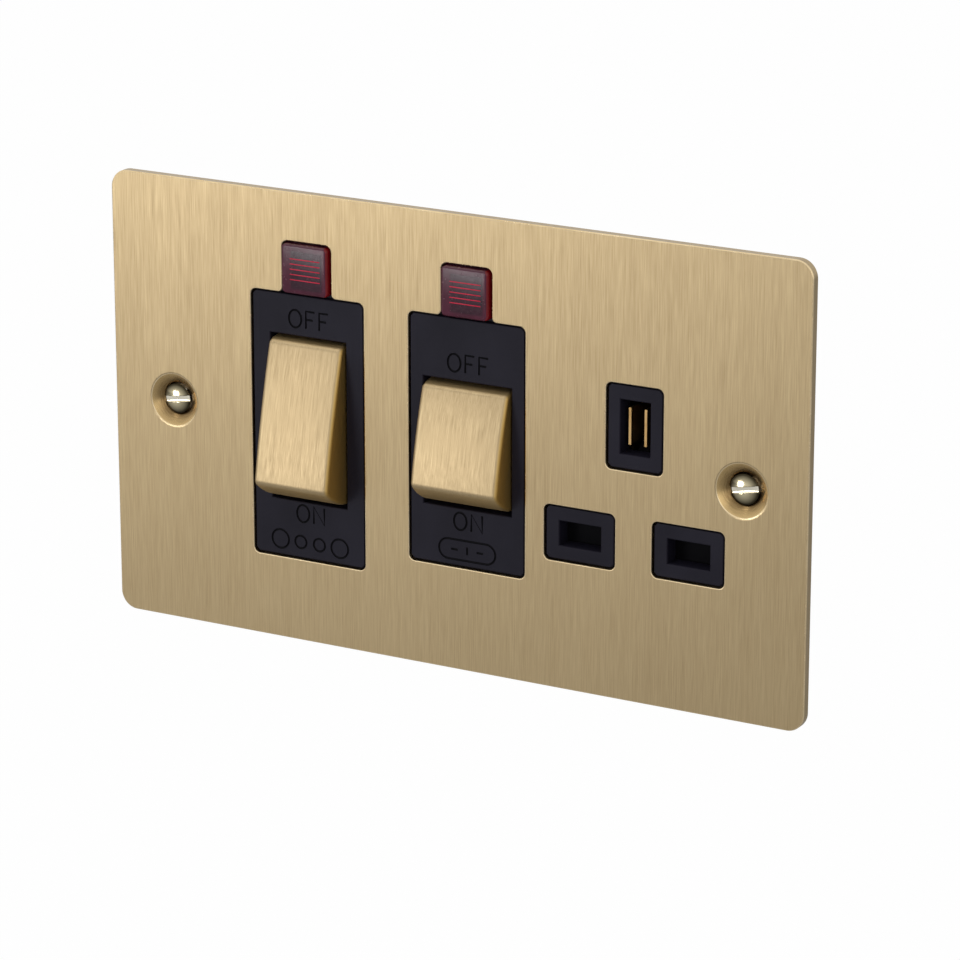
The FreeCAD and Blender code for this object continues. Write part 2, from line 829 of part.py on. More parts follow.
def housing_holes():
    """Cable holes, access to the clamp screws, and the bores of the corner posts."""
    holes = []
    cable = 2 * S.wire_half + 2 * S.cut_gap
    for x, up in terminal_places():
        through = span(up * (wall_inside - 1), up * (S.body_height / 2 + 1))
        holes.append(block(around(x, cable), around(wire_y, cable), through))
        depth = (terminal_rear - 1, body_rear + 1)
        holes.append(block(around(x, 2 * S.access_half), depth, around(up * terminal_z, 2 * S.access_half)))
    for side, up in CORNERS:
        x, z = side * boss_x, up * boss_z
        holes.append(rod("Y", S.screw_radius + S.fit, body_rear - flange_rear, (x, flange_rear, z)))
        head_depth = S.screw_head_height + S.fit
        holes.append(rod("Y", S.screw_head + S.cut_gap, head_depth + 1, (x, body_rear - head_depth, z)))
    return holes


def back_housing():
    solid = joined(tub(), *posts(), *terminal_cells(), *bar_seats(), *shutter_keepers())
    return node(less(solid, *housing_holes()), "back_housing")


# Rockers: a metal cap with a crowned face and flanks struck from the pivot, over a carrier

def rocker_core(switch, inset, rear, crown):
    """The rocker's form about its pivot: flanks on one arc, so that the gap stays even."""
    half_width = switch["open_width"] / 2 - S.rocker_gap - inset
    flank = switch["open_height"] / 2 - S.rocker_end_gap - inset
    reach = switch["reach"] - inset
    bulk = block((-half_width, half_width), (-reach - crown, rear), (-flank, flank))
    flanks = rod("X", flank, 2 * half_width + 2, (-half_width - 1, 0, 0))
    if not crown.value:
        return shared(bulk, flanks)
    chord = root(flank * flank - reach * reach)
    arc = (chord * chord + crown * crown) / (2 * crown)
    crowned = rod("X", arc, 2 * half_width + 2, (-half_width - 1, arc - reach - crown, 0))
    return shared(bulk, flanks, crowned)


def rocker_cap(name, switch):
    outside = rocker_core(switch, size(0), S.rocker_skirt, S.rocker_crown)
    half_width = switch["open_width"] / 2 - S.rocker_gap

    def end(edge):
        return upright(edge, 0) and edge.BoundBox.YMax < 0
    softened = eased(outside, "Fillet", S.rocker_end_edge, end)

    def side(edge):
        at_side = in_plane(edge, 0, half_width) or in_plane(edge, 0, -half_width)
        return at_side and edge.BoundBox.YMin < S.rocker_skirt.value - S.rocker_side_edge.value
    shell = eased(softened, "Chamfer", S.rocker_side_edge, side)
    hollow = rocker_core(switch, S.cap_wall, S.rocker_skirt + 1, size(0))
    slot_half = S.trunnion_radius + S.cut_gap
    slot = block(around(0, switch["open_width"]), (-slot_half, S.rocker_skirt + 1), (-slot_half, slot_half))
    cap = less(shell, hollow, slot)
    return node(pose(cap, -switch["tilt"], pivot_y, switch["x"]), name + "_rocker_cap")


def rocker_carrier(name, switch):
    inset = S.cap_wall + S.cap_fit
    plug = rocker_core(switch, inset, S.rocker_skirt, size(0))
    half_width = switch["open_width"] / 2 - S.rocker_gap - inset
    seat = block((-half_width, half_width), (-switch["reach"] + S.cap_wall, 1 - switch["reach"] + S.cap_wall),
                 around(0, 2 * S.boss_half_height))
    bore = S.plunger_half + S.plunger_play
    boss_half = pole_offset + bore + S.carrier_wall / 2
    boss = block((-boss_half, boss_half), (0, S.boss_reach), (-S.boss_half_height, S.boss_half_height))
    trunnion_half = switch["open_width"] / 2 + S.bearing_wall - S.rocker_gap
    trunnions = rod("X", S.trunnion_radius, 2 * trunnion_half, (-trunnion_half, 0, 0))
    cuts = []
    for side in SIDES:
        across = around(side * pole_offset, 2 * bore)
        cuts.append(block(across, (-S.bore_floor, S.boss_reach + 1), around(0, 2 * bore)))
        flank = switch["open_height"] / 2 - S.rocker_end_gap - inset - 2 * S.carrier_wall
        low, high = span(side * (S.boss_half_height + S.carrier_wall), side * flank)
        pocket = (-half_width + S.carrier_wall, half_width - S.carrier_wall)
        depth = (-switch["reach"] + S.cap_wall + 2 * S.carrier_wall, S.rocker_skirt + 1)
        cuts.append(block(pocket, depth, (low, high)))
    carrier = less(joined(plug, seat, boss, trunnions), *cuts)
    return node(pose(carrier, -switch["tilt"], pivot_y, switch["x"]), name + "_rocker_carrier")


def plungers(name, switch):
    """Two spring-loaded pins that press the contact arms."""
    nose = S.plunger_half / 2
    start = S.plunger_reach - S.plunger_length
    for side, pole in zip(SIDES, ("line", "neutral")):
        x = side * pole_offset
        width = 2 * S.plunger_half
        stem = block(around(x, width), (start, S.plunger_reach - nose), around(0, width))
        blade = block(around(x, width), (S.plunger_reach - 2 * nose, S.plunger_reach), around(0, 2 * nose))
        pin = joined(stem, blade)
        node(pose(pin, -switch["tilt"], pivot_y, switch["x"]), "%s_%s_plunger" % (name, pole))


def coil(radius, wire, length, turns):
    """A compression spring of square wire along Z from the origin, eight straight lengths to a turn."""
    count = COIL_SIDES * turns
    half = wire / 2
    points = []
    for step in range(count + 1):
        turn = 2 * math.pi * step / COIL_SIDES
        rise = half + (length - wire) * step / count
        points.append(FreeCAD.Vector(radius * math.cos(turn), radius * math.sin(turn), rise))
    corners = ((-half, 0), (half, 0), (half, wire), (-half, wire), (-half, 0))
    section = Part.makePolygon([FreeCAD.Vector(radius + out, 0, up) for out, up in corners])
    return Part.makePolygon(points).makePipeShell([section], True, False, 1)


def plunger_springs(name, switch):
    """Springs between the floors of the carrier's bores and the plungers."""
    length = (S.plunger_reach - S.plunger_length + S.bore_floor - 2 * S.spring_end).value
    mean = S.plunger_half.value - S.spring_wire.value
    tilt = FreeCAD.Rotation(FreeCAD.Vector(1, 0, 0), -switch["tilt"].value)
    for side, pole in zip(SIDES, ("line", "neutral")):
        foot = FreeCAD.Vector((side * pole_offset).value, (S.spring_end - S.bore_floor).value, 0)
        spring = doc.addObject("Part::Feature", "spring")
        spring.Shape = coil(mean, S.spring_wire.value, length, PLUNGER_SPRING_TURNS)
        pivot = FreeCAD.Vector(switch["x"].value, pivot_y.value, 0)
        spring.Placement = FreeCAD.Placement(pivot + tilt.multVec(foot), tilt.multiply(AIM["Y"]))
        node(spring, "%s_%s_spring" % (name, pole))


# Contact arms: see-saws bent so that the plunger stays just clear of them all the way

def contact_arm(name, pole, switch, side):
    arm = body("arm")
    outline = sketch(arm, "YZ_Plane", switch["x"] + side * pole_offset)
    rise = S.arm_span * tangent(S.arm_bend_angle)
    half = S.arm_thick / 2
    polygon(outline, [
        (-half, 0),
        (-half - rise, S.arm_span),
        (half - rise, S.arm_span),
        (half, 0),
        (half - rise, -S.arm_span),
        (-half - rise, -S.arm_span),
    ])
    extruded(arm, "Pad", outline, arm_width, midplane=True)
    back = half - rise + S.tip_half * tangent(S.arm_bend_angle) * 2
    tip = sketch(arm, "XZ_Plane", -(back - S.tip_thick))
    across = around(switch["x"] + side * pole_offset, 2 * S.tip_half)
    rectangle(tip, across, (S.arm_span - 2 * S.tip_half, S.arm_span))
    extruded(arm, "Pad", tip, S.tip_thick + (half - rise) - (back - S.tip_thick))
    return node(pose(arm, S.arm_swing_angle, arm_y), "%s_%s_arm" % (name, pole))


def arm_tip():
    """Where the contact face of an arm's tip comes to lie when the switch is on, and its height."""
    y = S.arm_thick / 2 - S.arm_span * tangent(S.arm_bend_angle) + S.tip_thick
    reach = arm_y + y * cosine(S.arm_swing_angle) + S.arm_span * sine(S.arm_swing_angle)
    return reach + S.contact_gap, S.arm_span - S.tip_half


def pivot_bar(name, pole, switch, side):
    """The fixed bar behind an arm, with the knife edge that the arm rocks on."""
    bar = body("bar")
    outline = sketch(bar, "YZ_Plane", switch["x"] + side * pole_offset)
    edge = arm_y + S.arm_thick / 2 + S.ridge_gap
    half = S.link_width / 2
    polygon(outline, [
        (edge, 0),
        (bar_front, half / 2),
        (bar_front, half),
        (bar_rear, half),
        (bar_rear, -terminal_in),
        (bar_front, -terminal_in),
        (bar_front, -half / 2),
    ])
    extruded(bar, "Pad", outline, arm_width, midplane=True)
    return node(bar, "%s_%s_bar" % (name, pole))


def load_contact(pole, side):
    """The cooker circuit's fixed contact: a bar up to its terminal with a silver tip."""
    contact_face, z = arm_tip()
    x = S.cooker_x + side * pole_offset
    front = contact_face + S.tip_thick
    tip = block(around(x, 2 * S.tip_half), (contact_face, front), around(z, 2 * S.tip_half))
    bar = block(around(x, arm_width), (front, front + S.bar_thick), (z - S.tip_half, terminal_in))
    return node(joined(tip, bar), "cooker_load_%s_contact" % pole)


def terminal(x, up, label):
    """A brass block with a tunnel for the wire, open to the housing's wall, and a clamp screw's hole."""
    low, high = span(up * terminal_in, up * wall_inside)
    brass = block(around(x, S.terminal_width), (terminal_front, terminal_rear), (low, high))
    mouth = span(up * (wall_inside - S.wire_reach), up * wall_inside)
    tunnel = block(around(x, 2 * S.wire_half), around(wire_y, 2 * S.wire_half), mouth)
    thread = rod("Y", S.clamp_radius + S.fit, terminal_rear - wire_y, (x, wire_y, up * terminal_z))
    return node(less(brass, tunnel, thread), label)


def terminals():
    half = S.terminal_spread / 2
    for up, duty in zip(SIDES, ("supply", "load")):
        for side, pole in zip(SIDES, ("line", "neutral")):
            terminal(S.cooker_x + side * half, up, "%s_%s_terminal" % (duty, pole))
    terminal(S.earth_x, 1, "earth_terminal")


def slotted_screw(radius, length, x, y, z, slot):
    """A headless clamp screw along Y, its slotted end to the rear."""
    shank = rod("Y", radius, length, (x, y, z))
    slot_reach = 3 * radius
    groove = block(around(x, slot_reach), (y + length - slot, y + length + 1), around(z, slot))
    return less(shank, groove)


def clamp_screws():
    screws = []
    start = wire_y + S.wire_half + S.cut_gap
    length = terminal_rear + S.wall / 2 - start
    for x, up in terminal_places():
        screws.append(slotted_screw(S.clamp_radius, length, x, start, up * terminal_z, S.clamp_radius / 2))
    return node(group(*screws), "clamp_screws")


# Bars that feed the outlet's switch from the supply terminals

def line_link():
    x_low = S.cooker_x + pole_offset - arm_width / 2
    x_high = S.socket_x - pole_offset + arm_width / 2
    top = -terminal_in + S.link_width + S.link_clear
    strip = block((x_low, x_high), (bar_rear, bar_rear + S.bar_thick), (top - S.link_width, top))
    return node(strip, "line_link")


def neutral_link():
    link = body("link")
    stack = 2 * S.link_width + 3 * S.link_clear
    top = stack - terminal_in
    outline = sketch(link, "XY_Plane", top)
    x_low = S.cooker_x - pole_offset - arm_width / 2
    x_high = S.socket_x + pole_offset + arm_width / 2
    clear = bar_rear + S.bar_thick + S.cut_gap
    thick = S.bar_thick
    polygon(outline, [
        (x_low, bar_rear),
        (x_low + arm_width, bar_rear),
        (x_low + arm_width, clear),
        (x_high - arm_width, clear),
        (x_high - arm_width, bar_rear),
        (x_high, bar_rear),
        (x_high, clear + thick),
        (x_low, clear + thick),
    ])
    extruded(link, "Pad", outline, S.link_width)
    return node(link, "neutral_link")


# Outlet: bars from the switch, pin contacts, the shutter and its spring

def outlet_bar(pole, side, pin_x, level):
    """A flat bar from a fixed contact of the outlet's switch to a pin contact."""
    contact_face, z = arm_tip()
    x = S.socket_x + side * pole_offset
    tip = block(around(x, 2 * S.tip_half), (contact_face, outlet_bar_front), around(z, 2 * S.tip_half))
    thick = (outlet_bar_front, outlet_bar_front + S.bar_thick)
    riser = block(around(x, arm_width), thick, (z - S.tip_half, level))
    inner = pin_x - S.fork_width / 2
    run = block((x - arm_width / 2, inner + S.leg_width), thick, (level - S.link_width, level))
    leg = block((inner, inner + S.leg_width), thick, (pole_z, level))
    foot = block(around(pin_x, S.fork_width), thick, around(pole_z, 2 * S.fork_gap))
    return node(joined(tip, riser, run, leg, foot), "outlet_%s_bar" % pole)


def fork_outline(drawing, centre, mouth_y, back_y, gap, mouth):
    """Two leaves and the web between them, the leaves' lips spread at the mouth."""
    thick = S.leaf_thick
    near = mouth_y + (mouth - gap)
    polygon(drawing, [
        (mouth_y, centre + mouth / 2 + thick),
        (mouth_y, centre + mouth / 2),
        (near, centre + gap / 2),
        (back_y - thick, centre + gap / 2),
        (back_y - thick, centre - gap / 2),
        (near, centre - gap / 2),
        (mouth_y, centre - mouth / 2),
        (mouth_y, centre - mouth / 2 - thick),
        (near, centre - gap / 2 - thick),
        (back_y, centre - gap / 2 - thick),
        (back_y, centre + gap / 2 + thick),
        (near, centre + gap / 2 + thick),
    ])


def pin_contact(pole, x):
    fork = body("fork")
    outline = sketch(fork, "YZ_Plane", x)
    mouth_y = shutter_rear + 2 * S.wall
    fork_outline(outline, pole_z, mouth_y, outlet_bar_front, S.fork_gap, S.fork_mouth)
    extruded(fork, "Pad", outline, S.fork_width, midplane=True)
    return node(fork, "%s_contact" % pole)


def earth_contact():
    """Two upright leaves close behind the aperture, and the strip up to the terminal."""
    leaf_y = face + S.earth_leaf_set
    back = bar_rear
    height = around(S.earth_z, S.earth_leaf_height)
    thick = S.leaf_thick
    leaves = []
    for side in SIDES:
        inner = S.earth_x + side * S.earth_leaf_gap / 2
        leaves.append(block(span(inner, inner + side * thick), (leaf_y, back), height))
    width = S.earth_leaf_gap + 2 * thick
    strip = block(around(S.earth_x, width), (back, back + S.bar_thick), (height[0], terminal_in))
    return node(joined(strip, *leaves), "earth_contact")


def shutter_span():
    """The shutter's lowest and highest edge over the two lower apertures, at rest."""
    half = S.pole_hole_height / 2 + S.shutter_lap
    return pole_z - half, pole_z + half


def shutter_across(play):
    half = S.pin_spread / 2 + S.pole_hole_width / 2 + S.shutter_lap
    return S.earth_x - half - play, S.earth_x + half + play


def shutter():
    """A plate across both lower apertures, with a ramp that the earth pin drives down."""
    low, high = shutter_span()
    leaf = block(shutter_across(size(0)), (shutter_front, shutter_rear), (low, high))
    ramp = body("ramp")
    outline = sketch(ramp, "YZ_Plane", S.earth_x)
    toe = S.earth_z - S.earth_hole_height / 2
    peak = toe + shutter_travel
    polygon(outline, [
        (shutter_front, high - S.shutter_lap),
        (shutter_front, toe),
        (shutter_front + shutter_travel, peak),
        (shutter_front + shutter_travel + S.shutter_thick, peak),
        (shutter_front + shutter_travel + S.shutter_thick, toe),
        (shutter_rear, high - S.shutter_lap),
    ])
    ramp_width = S.earth_leaf_gap - 4 * S.shutter_play
    extruded(ramp, "Pad", outline, ramp_width, midplane=True)
    shelf = block(around(S.earth_x, spring_shelf), (shutter_front, shutter_rear + spring_shelf),
                  (low, low + S.shutter_thick))
    return node(joined(leaf, ramp, shelf), "shutter")


def shutter_spring():
    low, _ = shutter_span()
    spring = doc.addObject("Part::Feature", "spring")
    length = S.spring_length - 2 * S.spring_end
    spring.Shape = coil(S.spring_radius.value, S.spring_wire.value, length.value, SHUTTER_SPRING_TURNS)
    y = shutter_rear + S.spring_radius + S.spring_wire
    foot = low - S.spring_length + S.spring_end
    spring.Placement.Base = FreeCAD.Vector(S.earth_x.value, y.value, foot.value)
    return node(spring, "shutter_spring")


# Neon indicators: ribbed lens, lamp and series resistor

def neon(name, switch):
    x = switch["x"]
    front = plate_front - S.lens_proud
    width = S.neon_cut_width - 2 * S.cut_gap
    slab = block(around(x, width), (front, plate_rear), (neon_low, neon_high))
    corners = eased(slab, "Chamfer", S.lens_corner, lambda edge: upright(edge, 1))
    pane = eased(corners, "Chamfer", S.lens_edge, lambda edge: in_plane(edge, 1, front))
    lip_width = S.neon_cut_width + 2 * S.lens_lip - S.cut_gap
    lip = block(around(x, lip_width), (plate_rear, plate_rear + S.lens_flange),
                (neon_low + S.fit, S.neon_cut_top + S.lens_lip - S.cut_gap / 2))
    room = around(x, lamp_room)
    inner = (front + S.lens_skin, plate_rear + S.lens_flange + 1)
    hollow = block(room, inner, around(neon_z, lamp_length))
    grooves = []
    for step in RIB_STEPS:
        level = neon_z + step * S.lens_rib_pitch
        deep = (front + S.lens_skin / 2, front + S.lens_skin + 1)
        grooves.append(block(room, deep, around(level, S.lens_rib_pitch / 2)))
    node(less(joined(pane, lip), hollow, *grooves), name + "_neon_lens")

    lamp_y = plate_rear + S.lens_flange + S.lamp_radius
    glass = rod("Z", S.lamp_radius, lamp_length, (x, lamp_y, neon_z - lamp_length / 2))
    node(glass, name + "_neon_lamp")
    resistor_y = lamp_y + S.lamp_radius + S.resistor_radius + S.fit
    resistor_length = lamp_length * 4 / 5
    ceramic = rod("Z", S.resistor_radius, resistor_length, (x, resistor_y, neon_z - resistor_length / 2))
    node(ceramic, name + "_neon_resistor")


# Earth strap, from the terminal to the plate's boss

def earth_strap():
    z = boss_z
    hole_width = 2 * S.boss_half + 2 * S.fit
    half = S.boss_half + S.strap_thick
    flat = block((S.earth_x - S.strap_thick, boss_x + half), (flange_rear, flange_rear + S.strap_thick),
                 (z - half, z + half))
    tab = block((S.earth_x - S.strap_thick, S.earth_x), (flange_rear, terminal_front), (z - half, z + half))
    through = (flange_rear - S.strap_thick, flange_rear + 2 * S.strap_thick)
    hole = block(around(boss_x, hole_width), through, around(z, hole_width))
    return node(less(joined(flat, tab), hole), "earth_strap")


# Fasteners

def housing_screws():
    screws = []
    slot_reach = 3 * S.screw_head
    slot_width = S.screw_head / 4
    for side, up in CORNERS:
        x, z = side * boss_x, up * boss_z
        start = plate_rear + S.strap_thick + S.cut_gap
        seat = body_rear - S.screw_head_height
        shank = rod("Y", S.screw_radius, seat - start, (x, start, z))
        head = rod("Y", S.screw_head, S.screw_head_height - S.fit, (x, seat, z))
        groove = block(around(x, slot_reach), (body_rear - S.screw_head_height / 2, body_rear + 1),
                       around(z, slot_width))
        screws.append(less(joined(shank, head), groove))
    return node(group(*screws), "housing_screws")


def fixing_screw(side):
    """A raised countersunk screw, turned in one outline from the dome to the point."""
    screw = body("screw")
    outline = sketch(screw, "XY_Plane", 0)
    x = side * S.fixing_pitch / 2
    bind(outline, "AttachmentOffset.Base.x", x)
    seat_y = plate_front + S.dish_depth
    neck = seat_y + S.fixing_head - S.fixing_radius
    top = seat_y - S.fixing_dome
    polygon(outline, [
        (0, top),
        (S.fixing_head / 2, top),
        (S.fixing_head, seat_y),
        (S.fixing_radius, neck),
        (S.fixing_radius, S.fixing_length),
        (0, S.fixing_length),
    ])
    turned(screw, "Revolution", outline)
    slot_reach = 3 * S.fixing_head
    slot_floor = seat_y + S.fixing_slot / 4
    groove = block(around(x, slot_reach), (top - 1, slot_floor), around(0, S.fixing_slot))
    return less(screw, groove)


def fixing_screws():
    return node(group(*[fixing_screw(side) for side in SIDES]), "fixing_screws")


# The whole unit

def build():
    front_plate()
    front_moulding()
    back_housing()
    for name, switch in SWITCHES.items():
        rocker_cap(name, switch)
        rocker_carrier(name, switch)
        plungers(name, switch)
        plunger_springs(name, switch)
        for side, pole in zip(SIDES, ("line", "neutral")):
            contact_arm(name, pole, switch, side)
            pivot_bar(name, pole, switch, side)
        neon(name, switch)
    for side, pole in zip(SIDES, ("line", "neutral")):
        load_contact(pole, side)
    terminals()
    clamp_screws()
    line_link()
    neutral_link()
    _, z = arm_tip()
    outlet_bar("line", -1, line_x, z + 2 * S.tip_half + 2 * S.link_width)
    outlet_bar("neutral", 1, neutral_x, z + S.tip_half + S.cut_gap)
    pin_contact("line", line_x)
    pin_contact("neutral", neutral_x)
    earth_contact()
    shutter()
    shutter_spring()
    earth_strap()
    housing_screws()
    fixing_screws()


def check():
    """Stops if any feature failed, or a sub-part is empty or not valid."""
    doc.recompute()
    for feature in doc.Objects:
        bad = {"Invalid", "Error"} & set(feature.State)
        if bad:
            raise RuntimeError("%s (%s) is %s" % (feature.Name, feature.Label, ", ".join(bad)))
    for feature in NODES:
        if feature.Shape.isNull() or not feature.Shape.Solids or not feature.Shape.isValid():
            raise RuntimeError("%s has no valid solid" % feature.Label)


def export():
    os.makedirs("parts", exist_ok=True)
    for feature in NODES:
        feature.Shape.exportStep("parts/%s.step" % feature.Label)
        print("%-26s %8.1f mm3" % (feature.Label, feature.Shape.Volume))


build()
check()
export()
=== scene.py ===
"""A cooker control unit in satin brass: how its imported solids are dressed, lit and seen."""

import json
import logging
import math
from collections.abc import Callable, Iterator, Sequence
from contextlib import contextmanager
from dataclasses import dataclass, replace
from enum import Enum

import bmesh
import bpy
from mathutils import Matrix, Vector


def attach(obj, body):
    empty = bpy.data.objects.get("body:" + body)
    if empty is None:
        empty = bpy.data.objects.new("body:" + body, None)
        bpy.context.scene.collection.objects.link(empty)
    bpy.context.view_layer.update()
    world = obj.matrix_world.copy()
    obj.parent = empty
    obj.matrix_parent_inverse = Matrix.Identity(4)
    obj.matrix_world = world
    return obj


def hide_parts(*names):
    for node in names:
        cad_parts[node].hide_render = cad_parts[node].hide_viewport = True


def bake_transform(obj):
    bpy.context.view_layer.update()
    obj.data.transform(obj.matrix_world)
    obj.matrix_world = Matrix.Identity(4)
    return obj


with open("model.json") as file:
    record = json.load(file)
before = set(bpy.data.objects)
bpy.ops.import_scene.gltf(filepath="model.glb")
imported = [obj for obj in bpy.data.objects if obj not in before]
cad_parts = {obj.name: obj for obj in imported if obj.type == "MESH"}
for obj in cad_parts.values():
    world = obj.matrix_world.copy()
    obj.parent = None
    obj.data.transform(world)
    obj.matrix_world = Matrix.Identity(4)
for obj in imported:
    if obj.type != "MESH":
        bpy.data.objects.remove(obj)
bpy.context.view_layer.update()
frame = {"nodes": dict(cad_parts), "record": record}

log = logging.getLogger("cooker_control_unit")

Piece = bpy.types.Object
Mesh = bmesh.types.BMesh
Edge = bmesh.types.BMEdge
Face = bmesh.types.BMFace
Socket = bpy.types.NodeSocket
Material = bpy.types.Material
Point = tuple[float, float, float]
Spot = tuple[float, float]
Colour = tuple[float, float, float]
EdgeTest = Callable[[Edge], bool]
Inputs = dict[str | int, object]

MM = 0.001
# Points nearer than this are one, in metres
SEAM = 2e-6
FINE_SEAM = 2e-7
# Where the two switches and the fixing screws stand across, and the back of the plate, in millimetres
COOKER = -30.4
SOCKET = 3.8
FIXING = 60.3
PLATE_REAR = -1.1
WHITE = (1.0, 1.0, 1.0)


class Axis(Enum):
    """The directions of the frame: each one's number, and the turn that lays a primitive's own Z along it."""

    X = (0, (0.0, math.pi / 2, 0.0))
    Y = (1, (-math.pi / 2, 0.0, 0.0))
    Z = (2, (0.0, 0.0, 0.0))


class Slot(Enum):
    """The record's material slots."""

    SATIN_BRASS = "satin_brass"
    POLISHED_BRASS = "polished_brass"
    CONTACT_BRASS = "contact_brass"
    STEEL = "steel"
    BLACK_MOULDING = "black_moulding"
    RED_LENS = "red_lens"
    LAMP_GLASS = "lamp_glass"
    CERAMIC = "ceramic"


class Pick(Enum):
    """What is selected in edit mode."""

    POINTS = "VERT"
    EDGES = "EDGE"
    FACES = "FACE"


class Join(Enum):
    """What a tool does to a piece."""

    CUT = "DIFFERENCE"
    ADD = "UNION"
    KEEP = "INTERSECT"


class Solver(Enum):
    """How two meshes are cut: any two, or two closed ones."""

    EXACT = "EXACT"
    CLOSED = "MANIFOLD"


# The bench: primitives, edit-mode steps and modifiers, in millimetres


def deselect() -> None:
    """Deselects every object."""
    bpy.ops.object.select_all(action="DESELECT")


def take(piece: Piece) -> None:
    """Makes one object the only selected and the active one.

    Args:
        piece: The object to work on.
    """
    deselect()
    piece.select_set(True)
    bpy.context.view_layer.objects.active = piece


@contextmanager
def editing(piece: Piece, kind: Pick = Pick.EDGES) -> Iterator[Mesh]:
    """Opens a piece in edit mode with nothing selected, and closes it again.

    Args:
        piece: The object to edit.
        kind: What is selected.

    Yields:
        The mesh under edit.
    """
    take(piece)
    bpy.ops.object.mode_set(mode="EDIT")
    bpy.ops.mesh.select_mode(type=kind.value)
    bpy.ops.mesh.select_all(action="DESELECT")
    yield bmesh.from_edit_mesh(piece.data)
    bpy.ops.object.mode_set(mode="OBJECT")


def pick_all() -> None:
    """Selects the whole mesh under edit."""
    bpy.ops.mesh.select_all(action="SELECT")


def pick_edges(mesh: Mesh, wanted: EdgeTest) -> None:
    """Selects the edges that a test wants.

    Args:
        mesh: The mesh under edit.
        wanted: The test.
    """
    for edge in mesh.edges:
        if wanted(edge):
            edge.select_set(True)


def bevel(piece: Piece, wanted: EdgeTest, width: float, steps: int, clamp: bool = False) -> None:
    """Bevels the edges that a test wants.

    Args:
        piece: The object to change.
        wanted: The test.
        width: The bevel's width, in millimetres.
        steps: How many segments it has.
        clamp: Whether it stops where it would meet another.
    """
    with editing(piece) as mesh:
        pick_edges(mesh, wanted)
        bpy.ops.mesh.bevel(offset=width * MM, segments=steps, affect="EDGES", clamp_overlap=clamp)


def call_it(piece: Piece, name: str) -> Piece:
    """Names a piece and its mesh.

    Args:
        piece: The object.
        name: Its name.

    Returns:
        The same object.
    """
    piece.name = name
    piece.data.name = name
    return piece


def settle(name: str) -> Piece:
    """Moves the place of the primitive just added into its mesh and names it.

    Args:
        name: Its name.

    Returns:
        The new object.
    """
    piece = bpy.context.object
    take(piece)
    bpy.ops.object.transform_apply(location=True, rotation=True, scale=True)
    return call_it(piece, name)


def block(name: str, low: Point, high: Point) -> Piece:
    """Adds a box between two corners.

    Args:
        name: The piece's name.
        low: Its lowest corner, in millimetres.
        high: Its highest corner, in millimetres.

    Returns:
        The new object.
    """
    deselect()
    centre = [(a + b) / 2 * MM for a, b in zip(low, high)]
    spread = [(b - a) * MM for a, b in zip(low, high)]
    bpy.ops.mesh.primitive_cube_add(size=1.0, location=centre, scale=spread)
    return settle(name)


def drum(name: str, axis: Axis, radius: float, centre: Point, length: float, sides: int) -> Piece:
    """Adds a cylinder.

    Args:
        name: The piece's name.
        axis: The direction it lies in.
        radius: Its radius, in millimetres.
        centre: Its middle, in millimetres.
        length: Its length, in millimetres.
        sides: How many sides it has.

    Returns:
        The new object.
    """
    deselect()
    bpy.ops.mesh.primitive_cylinder_add(
        vertices=sides, radius=radius * MM, depth=length * MM, location=[c * MM for c in centre],
        rotation=axis.value[1])
    return settle(name)


def turned(name: str, profile: Sequence[Spot], x: float, sides: int = 64) -> Piece:
    """Makes a turned piece about a line along Y, by extruding and scaling a disc.

    Args:
        name: The piece's name.
        profile: Pairs of Y and radius from front to back, in millimetres.
        x: Where the line stands across, in millimetres.
        sides: How many sides the disc has.

    Returns:
        The new object.
    """
    deselect()
    start, radius = profile[0]
    bpy.ops.mesh.primitive_circle_add(
        vertices=sides, radius=radius * MM, fill_type="NGON",
        location=(x * MM, start * MM, 0.0), rotation=(math.pi / 2, 0.0, 0.0))
    piece = settle(name)
    with editing(piece, Pick.FACES):
        pick_all()
        for (y0, r0), (y1, r1) in zip(profile, profile[1:]):
            bpy.ops.mesh.extrude_region_move(TRANSFORM_OT_translate={"value": (0.0, (y1 - y0) * MM, 0.0)})
            bpy.ops.transform.resize(value=(r1 / r0, 1.0, r1 / r0), center_override=(x * MM, y1 * MM, 0.0))
        pick_all()
        bpy.ops.mesh.normals_make_consistent(inside=False)
    return piece


def shape_with(piece: Piece, kind: str, **settings: object) -> Piece:
    """Adds a modifier to a piece, sets it and applies it.

    Args:
        piece: The object to change.
        kind: The modifier's type.
        **settings: Its values.

    Returns:
        The same object.
    """
    take(piece)
    bpy.ops.object.modifier_add(type=kind)
    modifier = piece.modifiers[-1]
    for key, value in settings.items():
        setattr(modifier, key, value)
    bpy.ops.object.modifier_apply(modifier=modifier.name)
    return piece


def trim(piece: Piece, tool: Piece, how: Join = Join.CUT, solver: Solver = Solver.EXACT) -> Piece:
    """Cuts, joins or intersects a piece with a tool, which is used up.

    Args:
        piece: The object to change.
        tool: The other object.
        how: What the tool does.
        solver: How it is worked out.

    Returns:
        The changed object.
    """
    shape_with(piece, "BOOLEAN", object=tool, operation=how.value, solver=solver.value,
               material_mode="TRANSFER")
    bpy.data.objects.remove(tool)
    return piece


def merged(pieces: Sequence[Piece], name: str) -> Piece:
    """Joins objects into one without fusing their meshes.

    Args:
        pieces: The objects.
        name: The name of the result.

    Returns:
        The joined object.
    """
    take(pieces[0])
    for piece in pieces[1:]:
        piece.select_set(True)
    bpy.ops.object.join()
    return call_it(bpy.context.object, name)


